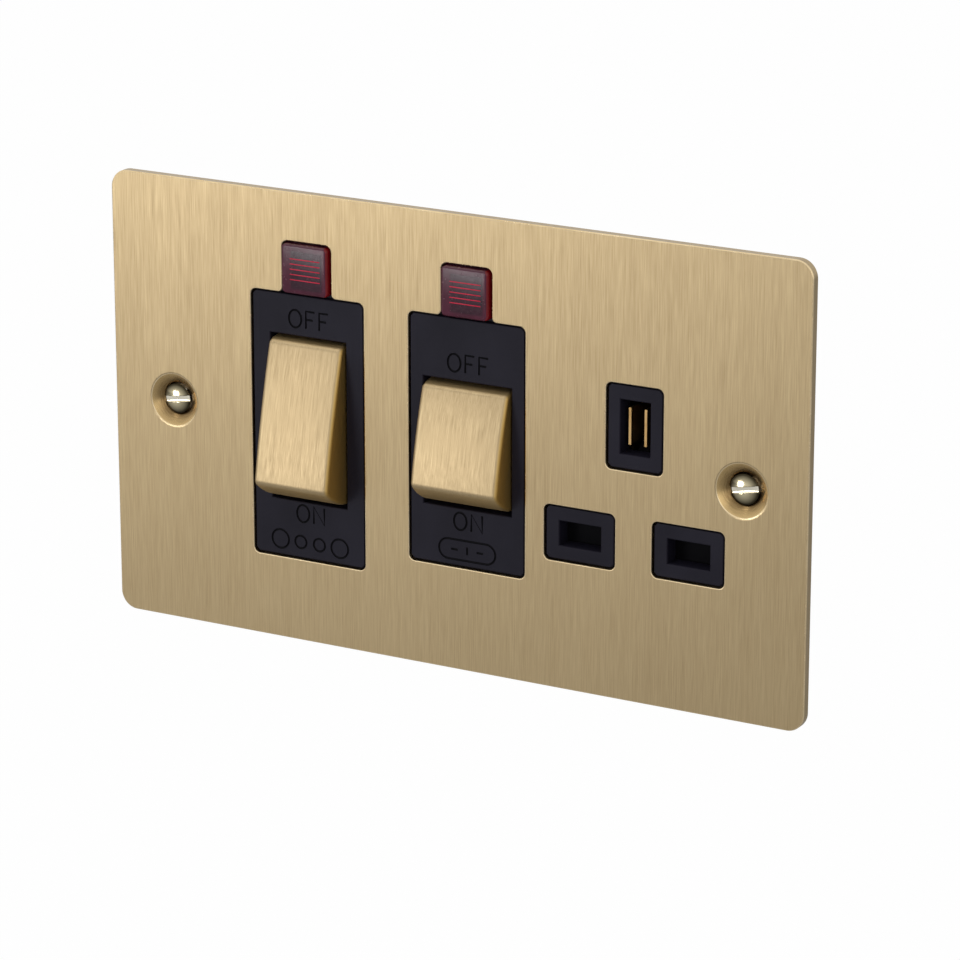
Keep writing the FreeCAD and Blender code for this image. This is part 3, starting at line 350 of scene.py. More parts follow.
def copy_of(node: str, name: str) -> Piece:
    """Copies a solid's mesh and closes its seams.

    Args:
        node: The node's name.
        name: The copy's name.

    Returns:
        The new object.
    """
    piece = bpy.data.objects.new(name, frame["nodes"][node].data.copy())
    piece.data.name = name
    bpy.context.scene.collection.objects.link(piece)
    with editing(piece, Pick.POINTS):
        pick_all()
        bpy.ops.mesh.remove_doubles(threshold=SEAM)
        bpy.ops.mesh.customdata_custom_splitnormals_clear()
    return piece


def smooth(piece: Piece, degrees: float) -> Piece:
    """Shades a piece smooth up to an angle.

    Args:
        piece: The object.
        degrees: The largest angle that stays smooth.

    Returns:
        The same object.
    """
    take(piece)
    bpy.ops.object.shade_smooth_by_angle(angle=math.radians(degrees))
    return piece


def rotate_all(piece: Piece, degrees: float, axis: Axis, centre: Point) -> None:
    """Turns a piece's mesh about a line.

    Args:
        piece: The object.
        degrees: How far it turns.
        axis: The line's direction.
        centre: A point of the line, in millimetres.
    """
    with editing(piece, Pick.POINTS):
        pick_all()
        bpy.ops.transform.rotate(
            value=math.radians(degrees), orient_axis=axis.name, center_override=[c * MM for c in centre])


def runs_back(edge: Edge) -> bool:
    """Tells whether an edge runs straight from front to back."""
    way = edge.verts[1].co - edge.verts[0].co
    return way.length > FINE_SEAM and abs(abs(way.y) - way.length) < FINE_SEAM


def in_plane(edge: Edge, axis: Axis, place: float) -> bool:
    """Tells whether an edge lies in the plane across an axis at a place in millimetres."""
    return all(abs(v.co[axis.value[0]] - place * MM) < SEAM for v in edge.verts)


def sharp(edge: Edge, degrees: float) -> bool:
    """Tells whether two faces meet at an edge at more than an angle."""
    return len(edge.link_faces) == 2 and edge.calc_face_angle(0.0) > math.radians(degrees)


def rounded_block(name: str, low: Point, high: Point, radius: float, steps: int = 6) -> Piece:
    """Adds a box whose four edges from front to back are rounded.

    Args:
        name: The piece's name.
        low: Its lowest corner, in millimetres.
        high: Its highest corner, in millimetres.
        radius: The corner radius, in millimetres.
        steps: How many segments each corner has.

    Returns:
        The new object.
    """
    piece = block(name, low, high)
    bevel(piece, runs_back, radius, steps, clamp=True)
    return piece


# Finishes


class Mix(Enum):
    """What is mixed: the node's data type, its two inputs and its output."""

    COLOURS = ("RGBA", 6, 7, 2)
    VALUES = ("FLOAT", 2, 3, 0)


class Tree:
    """A node tree, with short calls to add nodes and tie them together."""

    def __init__(self, tree: bpy.types.NodeTree) -> None:
        """Takes a node tree in hand."""
        self.nodes, self.links = tree.nodes, tree.links

    def add(self, kind: str, inputs: Inputs | None = None, **values: object) -> bpy.types.Node:
        """Adds a node.

        Args:
            kind: Its type.
            inputs: What its sockets take: values or other sockets.
            **values: Its own settings.

        Returns:
            The new node.
        """
        made = self.nodes.new(kind)
        for key, value in values.items():
            setattr(made, key, value)
        for key, value in (inputs or {}).items():
            if isinstance(value, Socket):
                self.links.new(value, made.inputs[key])
            else:
                made.inputs[key].default_value = value
        return made

    def sum(self, operation: str, first: Socket, second: Socket | float = 0.0) -> Socket:
        """Adds a sum of one or two values."""
        return self.add("ShaderNodeMath", {0: first, 1: second}, operation=operation).outputs[0]

    def mix(self, what: Mix, share: Socket | float, first: object, second: object) -> Socket:
        """Mixes two colours or two values by a share of the second."""
        kind, low, high, result = what.value
        return self.add("ShaderNodeMix", {0: share, low: first, high: second}, data_type=kind).outputs[result]


class Shader(Tree):
    """A material's node tree, with calls for what the finishes share."""

    def __init__(self, name: str) -> None:
        """Starts a material with a Principled surface.

        Args:
            name: The material's name.
        """
        self.material = bpy.data.materials.new(name)
        self.material.use_nodes = True
        super().__init__(self.material.node_tree)
        self.surface = self.nodes["Principled BSDF"]

    def here(self) -> Socket:
        """Gives the piece's own place."""
        return self.add("ShaderNodeTexCoord").outputs["Object"]

    def axes(self) -> list[Socket]:
        """Gives the piece's own X, Y and Z."""
        return list(self.add("ShaderNodeSeparateXYZ", {0: self.here()}).outputs)

    def noise(self, vector: Socket, detail: float, roughness: float) -> Socket:
        """Adds a noise pattern with some octaves and a strength of the finer ones."""
        inputs = {"Vector": vector, "Scale": 1.0, "Detail": detail, "Roughness": roughness}
        return self.add("ShaderNodeTexNoise", inputs).outputs["Fac"]

    def pattern(self, scale: Point, detail: float = 2.0, roughness: float = 0.5, lean: float = 0.0) -> Socket:
        """Adds a noise pattern in the piece's own place.

        Args:
            scale: Its repeats per metre along each axis.
            detail: Its octaves.
            roughness: How strong the finer octaves are.
            lean: Its turn about X, in degrees.

        Returns:
            The factor socket.
        """
        vector = self.here()
        if lean:
            turn = (math.radians(lean), 0.0, 0.0)
            vector = self.add("ShaderNodeMapping", {"Vector": vector, "Rotation": turn}).outputs["Vector"]
        vector = self.add("ShaderNodeMapping", {"Vector": vector, "Scale": scale}).outputs["Vector"]
        return self.noise(vector, detail, roughness)

    def spread(self, value: Socket, low: float = 0.0, high: float = 1.0, start: float = 0.3,
               end: float = 0.7) -> Socket:
        """Maps a pattern's stretch from start to end onto the values from low to high."""
        inputs = {"Value": value, "From Min": start, "From Max": end, "To Min": low, "To Max": high}
        return self.add("ShaderNodeMapRange", inputs).outputs["Result"]

    def tones(self, share: Socket, dark: Colour, light: Colour) -> Socket:
        """Mixes two plain colours by a pattern."""
        return self.mix(Mix.COLOURS, share, (*dark, 1.0), (*light, 1.0))

    def finish(self, colour: Socket, gloss: Socket, height: Socket, depth: float,
               **values: float) -> Material:
        """Ties the patterns to the surface.

        Args:
            colour: What gives its colour.
            gloss: What gives its roughness.
            height: What gives its relief.
            depth: The height of a step of one, in metres.
            **values: The surface's own values, with underscores for spaces in their names.

        Returns:
            The material.
        """
        relief = self.add("ShaderNodeBump", {"Height": height, "Distance": depth, "Strength": 1.0})
        ties = {"Base Color": colour, "Roughness": gloss, "Normal": relief.outputs["Normal"]}
        for key, source in ties.items():
            self.links.new(source, self.surface.inputs[key])
        for key, value in values.items():
            self.surface.inputs[key.replace("_", " ")].default_value = value
        return self.material


@dataclass(frozen=True)
class BrushedBrass:
    """Satin brass, brushed upright: fine streaks that change its colour, gloss and relief.

    Where the piece has a flank attribute, its colour goes over to a deeper one: a painted reflection on the
    sides that turn away from the front.
    """

    name: str
    dark: Colour
    light: Colour
    gloss: Spot = (0.43, 0.31)
    streak: float = 4600.0
    reach: float = 120.0
    broad: Spot = (5.0, 4.0)
    broad_share: float = 0.22
    cloud: Point = (30.0, 30.0, 18.0)
    cloud_share: float = 0.12
    tones: Spot = (0.32, 0.68)
    depth: float = 0.000006
    lean: float = 0.0
    # The deeper colour of the painted reflection, put where the flank attribute says
    flank: Colour | None = None

    def make(self) -> Material:
        """Builds the material."""
        shader = Shader(self.name)
        wide, high = self.streak / self.broad[0], self.reach / self.broad[1]
        fine = shader.pattern((self.streak, self.streak, self.reach), 3.0, 0.6, self.lean)
        broad = shader.pattern((wide, wide, high), lean=self.lean)
        streaks = shader.mix(Mix.VALUES, self.broad_share, fine, broad)
        tone = shader.mix(Mix.VALUES, self.cloud_share, streaks, shader.pattern(self.cloud))
        colour = shader.tones(shader.spread(tone, 0.0, 1.0, *self.tones), self.dark, self.light)
        # Painted reflection: the sides that the flank attribute names go over to the deeper colour
        if self.flank:
            side = shader.add("ShaderNodeAttribute", attribute_name="flank").outputs["Fac"]
            colour = shader.mix(Mix.COLOURS, side, colour, (*self.flank, 1.0))
        return shader.finish(colour, shader.spread(streaks, *self.gloss), streaks, self.depth, Metallic=1.0)


@dataclass(frozen=True)
class TurnedBrass:
    """Brass turned about the fixing screws' lines: fine rings, and a tone that changes from in to out, which
    paints shade where the dish and the screw head meet.
    """

    name: str
    # The tones inside and outside, and the radii in millimetres between which one goes over to the other; the
    # dark one is painted shade
    inner: Colour
    outer: Colour
    start: float
    end: float
    gloss: Spot
    share: float
    depth: float = 0.000004
    line: float = FIXING
    rings: float = 5200.0
    waver: float = 2.5

    def make(self) -> Material:
        """Builds the material."""
        shader = Shader(self.name)
        x, _, z = shader.axes()
        side = shader.sum("SUBTRACT", shader.sum("ABSOLUTE", x), self.line * MM)
        squares = [shader.sum("MULTIPLY", way, way) for way in (side, z)]
        radius = shader.sum("SQRT", shader.sum("ADD", *squares))
        outer = shader.sum("MULTIPLY", radius, self.rings)
        around = shader.sum("MULTIPLY", shader.sum("ARCTAN2", z, side), self.waver)
        spot = shader.add("ShaderNodeCombineXYZ", {0: outer, 1: around, 2: x})
        grain = shader.noise(spot.outputs[0], 3.0, 0.6)
        outward = shader.spread(radius, 0.0, 1.0, self.start * MM, self.end * MM)
        colour = shader.tones(shader.mix(Mix.VALUES, self.share, outward, grain), self.inner, self.outer)
        return shader.finish(colour, shader.spread(grain, *self.gloss), grain, self.depth, Metallic=1.0)


@dataclass(frozen=True)
class PlainMetal:
    """Bare or plated metal with faint wear."""

    name: str
    dark: Colour
    light: Colour
    gloss: Spot
    grain: float = 900.0
    wear: float = 180.0
    depth: float = 0.000003

    def make(self) -> Material:
        """Builds the material."""
        shader = Shader(self.name)
        grain = shader.pattern((self.grain,) * 3, 3.0, 0.55)
        colour = shader.tones(shader.spread(shader.pattern((self.wear,) * 3)), self.dark, self.light)
        return shader.finish(colour, shader.spread(grain, *self.gloss), grain, self.depth, Metallic=1.0)


@dataclass(frozen=True)
class Moulding:
    """Black moulded plastic with a fine matt grain."""

    name: str = "black_moulding"
    dark: Colour = (0.0080, 0.0070, 0.0130)
    light: Colour = (0.0130, 0.0118, 0.0200)
    gloss: Spot = (0.42, 0.56)
    sheen: float = 0.12
    grain: float = 5200.0
    flow: Point = (90.0, 90.0, 60.0)
    depth: float = 0.000006

    def make(self) -> Material:
        """Builds the material."""
        shader = Shader(self.name)
        grain = shader.pattern((self.grain,) * 3)
        colour = shader.tones(shader.spread(shader.pattern(self.flow)), self.dark, self.light)
        return shader.finish(colour, shader.spread(grain, *self.gloss), grain, self.depth,
                             IOR=1.5, Specular_IOR_Level=self.sheen)


@dataclass(frozen=True)
class ClearPlastic:
    """Tinted clear plastic, with a darker oblong painted in it where it has a window: painted shade of the
    chamber behind it.
    """

    name: str
    dark: Colour
    light: Colour
    clear: float
    gloss: Spot = (0.10, 0.18)
    sheen: float = 0.5
    flow: float = 260.0
    grain: float = 1400.0
    depth: float = 0.00001
    # The painted shade's oblong: its middle across and up, and half its width and height, in millimetres
    window: tuple[float, float, float, float] | None = None
    shade: Colour = (0.018, 0.008, 0.016)
    shade_share: float = 0.62
    shade_gain: float = 1.6
    blur: float = 0.25

    def behind(self, shader: Shader, colour: Socket) -> Socket:
        """Darkens the colour over the window with painted shade.

        Args:
            shader: The material in the making.
            colour: Its colour.

        Returns:
            The darkened colour.
        """
        x, z, wide, high = (value * MM for value in self.window)
        across, _, upward = shader.axes()
        masks, blur = [], self.blur * MM
        for place, middle, half in ((across, x, wide), (upward, z, high)):
            off = shader.sum("ABSOLUTE", shader.sum("SUBTRACT", place, middle))
            masks.append(shader.spread(off, self.shade_share, 0.0, half - blur, half + blur))
        share = shader.sum("MULTIPLY", masks[0], shader.sum("MULTIPLY", masks[1], self.shade_gain))
        return shader.mix(Mix.COLOURS, share, colour, (*self.shade, 1.0))

    def make(self) -> Material:
        """Builds the material."""
        shader = Shader(self.name)
        flow = shader.pattern((self.flow,) * 3)
        gloss = shader.spread(shader.pattern((self.grain,) * 3, 1.0), *self.gloss)
        colour = shader.tones(shader.spread(flow), self.dark, self.light)
        if self.window:
            colour = self.behind(shader, colour)
        return shader.finish(colour, gloss, flow, self.depth,
                             IOR=1.49, Transmission_Weight=self.clear, Specular_IOR_Level=self.sheen)


@dataclass(frozen=True)
class Ceramic:
    """The matt coating of a small resistor."""

    name: str = "ceramic"
    dark: Colour = (0.36, 0.27, 0.15)
    light: Colour = (0.46, 0.36, 0.22)
    gloss: Spot = (0.45, 0.65)
    grain: float = 1800.0
    depth: float = 0.00001

    def make(self) -> Material:
        """Builds the material."""
        shader = Shader(self.name)
        grain = shader.pattern((self.grain,) * 3, 3.0, 0.6)
        colour = shader.tones(shader.spread(grain), self.dark, self.light)
        return shader.finish(colour, shader.spread(grain, *self.gloss), grain, self.depth)


class Paints:
    """Every finish, made once."""

    def __init__(self) -> None:
        """Builds the materials."""
        self.plate = BrushedBrass("satin_brass", (0.305, 0.226, 0.124), (0.448, 0.346, 0.200)).make()
        # The rocker's flank colour is a painted reflection on its right side and ends
        self.rocker = BrushedBrass(
            "rocker_brass", (0.336, 0.251, 0.139), (0.452, 0.348, 0.203), (0.54, 0.44), streak=7600.0,
            reach=150.0, cloud_share=0.05, lean=13.5, flank=(0.54, 0.350, 0.105)).make()
        self.edge = PlainMetal("bare_edge", (0.66, 0.51, 0.30), (0.78, 0.63, 0.40), (0.20, 0.30)).make()
        # The dish goes dark towards the screw head: painted shade
        self.dish = TurnedBrass(
            "turned_dish", (0.050, 0.020, 0.003), (0.700, 0.500, 0.235), 3.4, 5.3, (0.32, 0.22), 0.42,
            0.000012).make()
        # The screw head goes dark towards its rim: painted shade where it meets the dish
        self.head = TurnedBrass(
            "screw_head", (0.800, 0.700, 0.460), (0.016, 0.011, 0.004), 0.6, 2.7, (0.18, 0.10), 0.06).make()
        self.polished = PlainMetal(
            "polished_brass", (0.78, 0.72, 0.58), (0.88, 0.83, 0.70), (0.10, 0.18)).make()
        self.contact = PlainMetal(
            "contact_brass", (0.36, 0.22, 0.085), (0.47, 0.31, 0.14), (0.28, 0.40)).make()
        self.steel = PlainMetal("plated_steel", (0.42, 0.42, 0.43), (0.55, 0.55, 0.56), (0.22, 0.34)).make()
        self.moulding = Moulding().make()
        # The grooves are darker than the moulding: painted shade in the engraving
        self.groove_shade = Moulding(
            "engraving", (0.0012, 0.0011, 0.0020), (0.0022, 0.0020, 0.0034), (0.5, 0.6), 0.08).make()
        # The shutter's moulding is darker still: painted shade deep in the pin holes
        self.shutter_shade = Moulding(
            "shutter_moulding", (0.0016, 0.0015, 0.0022), (0.0026, 0.0024, 0.0034), (0.6, 0.7), 0.05).make()
        red = ClearPlastic(
            "red_lens", (0.070, 0.0095, 0.026), (0.110, 0.0150, 0.040), 0.25, (0.20, 0.28), 0.22)
        self.lens = red.make()
        # Each neon lens has the darker oblong of painted shade over its chamber
        self.cooker_lens, self.socket_lens = (
            replace(red, name=name, window=(x + 0.5, 29.3, 3.4, 3.7)).make()
            for name, x in (("cooker_red_lens", COOKER), ("socket_red_lens", SOCKET)))
        # The lens faces that look right take a brighter red: painted light
        self.lens_lit_side = ClearPlastic(
            "red_lens_edge", (0.200, 0.0030, 0.008), (0.260, 0.0050, 0.012), 0.30, (0.15, 0.22), 0.3).make()
        # The ribs are an opaque bright red: a painted reflection of light in the lens
        self.rib = ClearPlastic(
            "red_lens_rib", (0.50, 0.008, 0.036), (0.58, 0.012, 0.050), 0.0, (0.3, 0.4), 0.2).make()
        self.glass = ClearPlastic("lamp_glass", (0.86, 0.84, 0.80), (0.92, 0.90, 0.86), 0.92).make()
        self.ceramic = Ceramic().make()

    def by_slot(self, slot: Slot) -> Material:
        """Gives the finish of one of the record's slots."""
        return {
            Slot.SATIN_BRASS: self.plate,
            Slot.POLISHED_BRASS: self.polished,
            Slot.CONTACT_BRASS: self.contact,
            Slot.STEEL: self.steel,
            Slot.BLACK_MOULDING: self.moulding,
            Slot.RED_LENS: self.lens,
            Slot.LAMP_GLASS: self.glass,
            Slot.CERAMIC: self.ceramic,
        }[slot]


def paint(piece: Piece, *materials: Material) -> None:
    """Puts materials in a piece's slots, in order.

    Args:
        piece: The object.
        *materials: The materials.
    """
    piece.data.materials.clear()
    for material in materials:
        piece.data.materials.append(material)


def paint_faces(piece: Piece, choice: Callable[[Face], int]) -> None:
    """Gives each face one of its piece's materials.

    Args:
        piece: The object.
        choice: Tells a face's material by its number.
    """
    with editing(piece, Pick.FACES) as mesh:
        for face in mesh.faces:
            face.material_index = choice(face)


def stand_for(piece: Piece, body: str, slot: Slot, *nodes: str) -> None:
    """Lets a piece ride on a body, in place of solids where it replaces any.

    Args:
        piece: The object.
        body: The body it moves with.
        slot: The record's slot of its finish; not used.
        *nodes: The solids that it replaces.
    """
    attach(piece, body)
    if nodes:
        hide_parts(*nodes)
    log.info("%s rides on %s: %d faces", piece.name, body, len(piece.data.polygons))


# Sub-assemblies


@dataclass
class FrontPlate:
    """The brushed plate, with its windows and its two dished screw seats."""

    width: float = 147.0
    height: float = 88.0
    front: float = -2.85
    rear: float = PLATE_REAR
    corner: float = 3.5
    arris: float = 0.2
    fixing: float = FIXING
    dish_rim: float = 5.25
    dish_depth: float = 1.1
    head: float = 3.47
    hole: float = 2.1
    back_sink: float = 0.4
    back_taper: float = 0.9
    # Each switch's window: its middle across and its foot
    switches: tuple[Spot, ...] = ((COOKER, -27.8), (SOCKET, -23.9))
    switch_width: float = 24.6
    switch_top: float = 24.5
    neon_width: float = 10.65
    neon_top: float = 34.55
    neck: float = 1.0
    # Each pin's window: its middle across and up, its width and its height
    pins: tuple[tuple[float, float, float, float], ...] = (
        (38.6, 8.43, 11.65, 16.4), (49.715, -13.8, 14.7, 10.75), (27.485, -13.8, 14.7, 10.75))
    window_corner: float = 1.2
    boss: Spot = (53.0, 31.0)
    boss_half: float = 2.5
    boss_corner: float = 0.4
    boss_sink: float = 0.3
    boss_end: float = 3.9
    boss_hole: float = 1.52
    boss_hole_depth: float = 4.2
    past: float = 1.0
    overlap: float = 4.0

    def bosses(self) -> list[Piece]:
        """Makes the four bosses that take the housing's screws."""
        made = []
        half, root = self.boss_half, self.rear - self.boss_sink
        for x in (-self.boss[0], self.boss[0]):
            for z in (-self.boss[1], self.boss[1]):
                low, high = (x - half, root, z - half), (x + half, self.boss_end, z + half)
                boss = rounded_block("boss", low, high, self.boss_corner, steps=3)
                end = (x, self.boss_end, z)
                trim(boss, drum("boss_hole", Axis.Y, self.boss_hole, end, 2 * self.boss_hole_depth, 32))
                made.append(boss)
        return made

    def windows(self) -> list[Piece]:
        """Makes the tools that cut the windows."""
        spans = []
        for x, foot in self.switches:
            spans.append(("switch_window", x, self.switch_width, foot, self.switch_top))
            spans.append(("neon_window", x, self.neon_width, self.switch_top - self.overlap, self.neon_top))
        spans += [("pin_window", x, wide, z - high / 2, z + high / 2) for x, z, wide, high in self.pins]
        y0, y1 = self.front - self.past, self.rear + self.past
        return [rounded_block(
            name, (x - wide / 2, y0, foot), (x + wide / 2, y1, top), self.window_corner, steps=8)
            for name, x, wide, foot, top in spans]

    def at_neck(self, edge: Edge) -> bool:
        """Tells whether an edge stands where a neon's window meets its switch's window.

        Args:
            edge: The edge.

        Returns:
            True if it does.
        """
        half = self.neon_width / 2
        beside = (x + side for x, _ in self.switches for side in (-half, half))
        level = runs_back(edge) and in_plane(edge, Axis.Z, self.switch_top)
        return level and any(in_plane(edge, Axis.X, x) for x in beside)

    def build(self) -> Piece:
        """Models the plate."""
        wide, high = self.width / 2, self.height / 2
        low, high = (-wide, self.front, -high), (wide, self.rear, high)
        plate = rounded_block("plate", low, high, self.corner, steps=12)
        rim = self.dish_rim
        back = [(self.rear - self.back_sink, rim), (self.rear, rim), (0.0, rim - self.back_taper)]
        for x in (-self.fixing, self.fixing):
            trim(plate, turned("seat_back", back, x), Join.ADD)
        for boss in self.bosses():
            trim(plate, boss, Join.ADD)
        for tool in self.windows():
            trim(plate, tool)
        bevel(plate, self.at_neck, self.neck, 8)
        seat = self.front + self.dish_depth
        dish = [(self.front - self.past, rim), (self.front, rim), (seat, self.head),
                (seat + self.head - self.hole, self.hole), (self.past, self.hole)]
        for x in (-self.fixing, self.fixing):
            trim(plate, turned("dish", dish, x, 96))
        bevel(plate, lambda e: in_plane(e, Axis.Y, self.front) and sharp(e, 20.0), self.arris, 2)
        smooth(plate, 15.0)
        with editing(plate) as mesh:
            pick_edges(mesh, lambda e: in_plane(e, Axis.Y, self.front))
            bpy.ops.mesh.mark_sharp()
        return plate

    def finish_of(self, face: Face) -> int:
        """Tells which of the plate's finishes a face has.

        Args:
            face: The face.

        Returns:
            0 for brushed, 1 for a bare edge, 2 for a turned dish with painted shade near the screw head.
        """
        rim_margin, edge_margin, edge_share = 0.05, 0.02, 0.7
        middle = face.calc_center_median() / MM
        reach = math.hypot(abs(middle.x) - self.fixing, middle.z)
        if reach < self.dish_rim + rim_margin and middle.y > self.front + self.arris * edge_share:
            return 2
        slanted = 0.2 < abs(face.normal.y) < 0.97
        return int(slanted and middle.y < self.front + self.arris + edge_margin)

    def dress(self, paints: Paints) -> None:
        """Builds the plate and puts it in place of its solid."""
        plate = self.build()
        paint(plate, paints.plate, paints.edge, paints.dish)
        paint_faces(plate, self.finish_of)
        stand_for(plate, "unit", Slot.SATIN_BRASS, "front_plate")


@dataclass
class Stroke:
    """One engraved line: its points across and up, in millimetres from the letter's corner."""

    points: tuple[Spot, ...]
    closed: bool = False


def ring(centre: Spot, wide: float, high: float, sides: int = 28) -> Stroke:
    """Gives a closed oval stroke.

    Args:
        centre: Its middle.
        wide: Half its width.
        high: Half its height.
        sides: How many points it has.

    Returns:
        The stroke.
    """
    turns = [2 * math.pi * k / sides for k in range(sides)]
    points = [(centre[0] + wide * math.cos(t), centre[1] + high * math.sin(t)) for t in turns]
    return Stroke(tuple(points), True)


# Each letter or sign: its width, in millimetres, and its strokes
LETTERS: dict[str, tuple[float, tuple[Stroke, ...]]] = {
    "O": (2.7, (ring((1.35, 1.7), 1.35, 1.7),)),
    "F": (1.9, (Stroke(((0.0, 0.0), (0.0, 3.4), (1.9, 3.4))), Stroke(((0.0, 1.8), (1.5, 1.8))))),
    "N": (2.3, (Stroke(((0.0, 0.0), (0.0, 3.4), (2.3, 0.0), (2.3, 3.4))),)),
    "L": (1.8, (Stroke(((0.0, 3.4), (0.0, 0.0), (1.8, 0.0))),)),
    "earth": (3.4, (
        Stroke(((1.7, 3.6), (1.7, 1.9))), Stroke(((0.0, 1.75), (3.4, 1.75))),
        Stroke(((0.6, 0.95), (2.8, 0.95))), Stroke(((1.2, 0.15), (2.2, 0.15))))),
}


@dataclass
class Legend:
    """A row of engraved strokes on a black face, centred across a place."""

    centre: float
    base: float
    strokes: list[Stroke]
    width: float
    behind: bool = False
    radius: float = 0.21

    @classmethod
    def word(cls, text: Sequence[str], centre: float, base: float, behind: bool = False) -> "Legend":
        """Lays out a word.

        Args:
            text: Its letters.
            centre: Its middle across, in millimetres.
            base: Its foot, in millimetres.
            behind: Whether it is read from behind.

        Returns:
            The legend.
        """
        strokes: list[Stroke] = []
        gap, at = 1.0, 0.0
        for letter in text:
            wide, lines = LETTERS[letter]
            for line in lines:
                strokes.append(Stroke(tuple((x + at, z) for x, z in line.points), line.closed))
            at += wide + gap
        return cls(centre, base, strokes, at - gap, behind)

    def tools(self, face: float) -> list[Piece]:
        """Makes the round tools that engrave it, one a stroke.

        Args:
            face: Where the face lies, in millimetres.

        Returns:
            The tools as meshes.
        """
        made = []
        way = -1 if self.behind else 1
        left = self.centre - way * self.width / 2
        for stroke in self.strokes:
            curve = bpy.data.curves.new("legend_tool", "CURVE")
            curve.dimensions = "3D"
            curve.bevel_depth = self.radius * MM
            curve.bevel_resolution = 2
            curve.use_fill_caps = True
            spline = curve.splines.new("POLY")
            spline.points.add(len(stroke.points) - 1)
            for point, (x, z) in zip(spline.points, stroke.points):
                point.co = ((left + way * x) * MM, face * MM, (self.base + z) * MM, 1.0)
            spline.use_cyclic_u = stroke.closed
            tool = bpy.data.objects.new("legend_tool", curve)
            bpy.context.scene.collection.objects.link(tool)
            take(tool)
            bpy.ops.object.convert(target="MESH")
            with editing(tool, Pick.POINTS) as mesh:
                pick_all()
                bpy.ops.mesh.remove_doubles(threshold=FINE_SEAM)
                pick_all()
                if mesh.calc_volume(signed=True) < 0:
                    bpy.ops.mesh.flip_normals()
            made.append(tool)
        return made

    def engrave(self, piece: Piece, face: float, material: Material) -> None:
        """Cuts the strokes into a closed piece.

        Args:
            piece: The object to change.
            face: Where its face lies, in millimetres.
            material: The finish of the grooves.
        """
        for tool in self.tools(face):
            paint(tool, material)
            trim(piece, tool, solver=Solver.CLOSED)


def hob_sign(centre: float, base: float) -> Legend:
    """Gives four rings in a row, the large ones outside: a hob.

    Args:
        centre: Its middle across.
        base: Its foot.

    Returns:
        The legend.
    """
    line, width = 1.85, 16.8
    rings = ((1.85, 1.85), (6.35, 1.25), (10.45, 1.25), (14.95, 1.85))
    return Legend(centre, base, [ring((x, line), radius, radius) for x, radius in rings], width)


def outlet_sign(centre: float, base: float) -> Legend:
    """Gives a long oval with three slots in it: a three-pin outlet.

    Args:
        centre: Its middle across.
        base: Its foot.

    Returns:
        The legend.
    """
    high, wide, bend, steps = 3.9, 12.0, 1.95, 12
    outline: list[Spot] = []
    for start, middle in ((math.pi / 2, wide - bend), (-math.pi / 2, bend)):
        for k in range(steps + 1):
            turn = start - math.pi * k / steps
            outline.append((middle + bend * math.cos(turn), bend + bend * math.sin(turn)))
    inset, near, far = 1.2, 2.6, 4.0
    slots = [((wide / 2, inset), (wide / 2, high - inset)), ((near, bend), (far, bend)),
             ((wide - far, bend), (wide - near, bend))]
    return Legend(centre, base, [Stroke(tuple(outline), True), *map(Stroke, slots)], wide)


@dataclass
class FrontMoulding:
    """The black moulding, with its legends engraved."""

    face: float = -2.55
    arris: float = 0.2
    word_shift: float = 0.2
    # Each switch: its place across, the feet of OFF and ON, its sign and the sign's foot
    rows: tuple[tuple[float, float, float, Callable[[float, float], Legend], float], ...] = (
        (COOKER, 17.9, -20.3, hob_sign, -26.2), (SOCKET, 14.0, -16.5, outlet_sign, -22.4))

    def build(self, paints: Paints) -> Piece:
        """Copies the moulding's solid and engraves it.

        Args:
            paints: The finishes.

        Returns:
            The moulding.
        """
        moulding = copy_of("front_moulding", "moulding")
        paint(moulding, paints.moulding)
        bevel(moulding, lambda e: in_plane(e, Axis.Y, self.face) and sharp(e, 60.0) and e.is_convex,
              self.arris, 2, clamp=True)
        for x, off, on, sign, foot in self.rows:
            middle = x + self.word_shift
            for legend in (Legend.word("OFF", middle, off), Legend.word("ON", middle, on), sign(x, foot)):
                # The grooves take the darker moulding of painted shade
                legend.engrave(moulding, self.face, paints.groove_shade)
        return smooth(moulding, 20.0)

    def dress(self, paints: Paints) -> None:
        """Builds the moulding and puts it in place of its solid."""
        stand_for(self.build(paints), "unit", Slot.BLACK_MOULDING, "front_moulding")


@dataclass
class BackHousing:
    """The rear housing, with the marks beside its terminals and the round prints of the mould's pins."""

    rear: float = 24.9
    marks: tuple[tuple[str, float, float], ...] = (
        ("L", -36.5, 22.0), ("N", -24.3, 22.0), ("earth", 38.6, 22.0),
        ("L", -36.5, -25.4), ("N", -24.3, -25.4))
    print_radius: float = 2.6
    print_depth: float = 0.25
    prints: tuple[Spot, ...] = (
        (-45.0, 15.0), (-45.0, -15.0), (-7.0, 29.0), (-7.0, -29.0), (0.0, 0.0), (45.0, 15.0), (45.0, -15.0),
        (25.0, -29.0))

    def build(self, paints: Paints) -> Piece:
        """Copies the housing's solid and marks its rear face.

        Args:
            paints: The finishes.

        Returns:
            The housing.
        """
        housing = copy_of("back_housing", "housing")
        paint(housing, paints.moulding)
        for x, z in self.prints:
            tool = drum("print", Axis.Y, self.print_radius, (x, self.rear, z), 2 * self.print_depth, 40)
            paint(tool, paints.moulding)
            trim(housing, tool, solver=Solver.CLOSED)
        for sign, x, base in self.marks:
            Legend.word([sign], x, base, behind=True).engrave(housing, self.rear, paints.moulding)
        return smooth(housing, 20.0)

    def dress(self, paints: Paints) -> None:
        """Builds the housing and puts it in place of its solid."""
        stand_for(self.build(paints), "unit", Slot.BLACK_MOULDING, "back_housing")


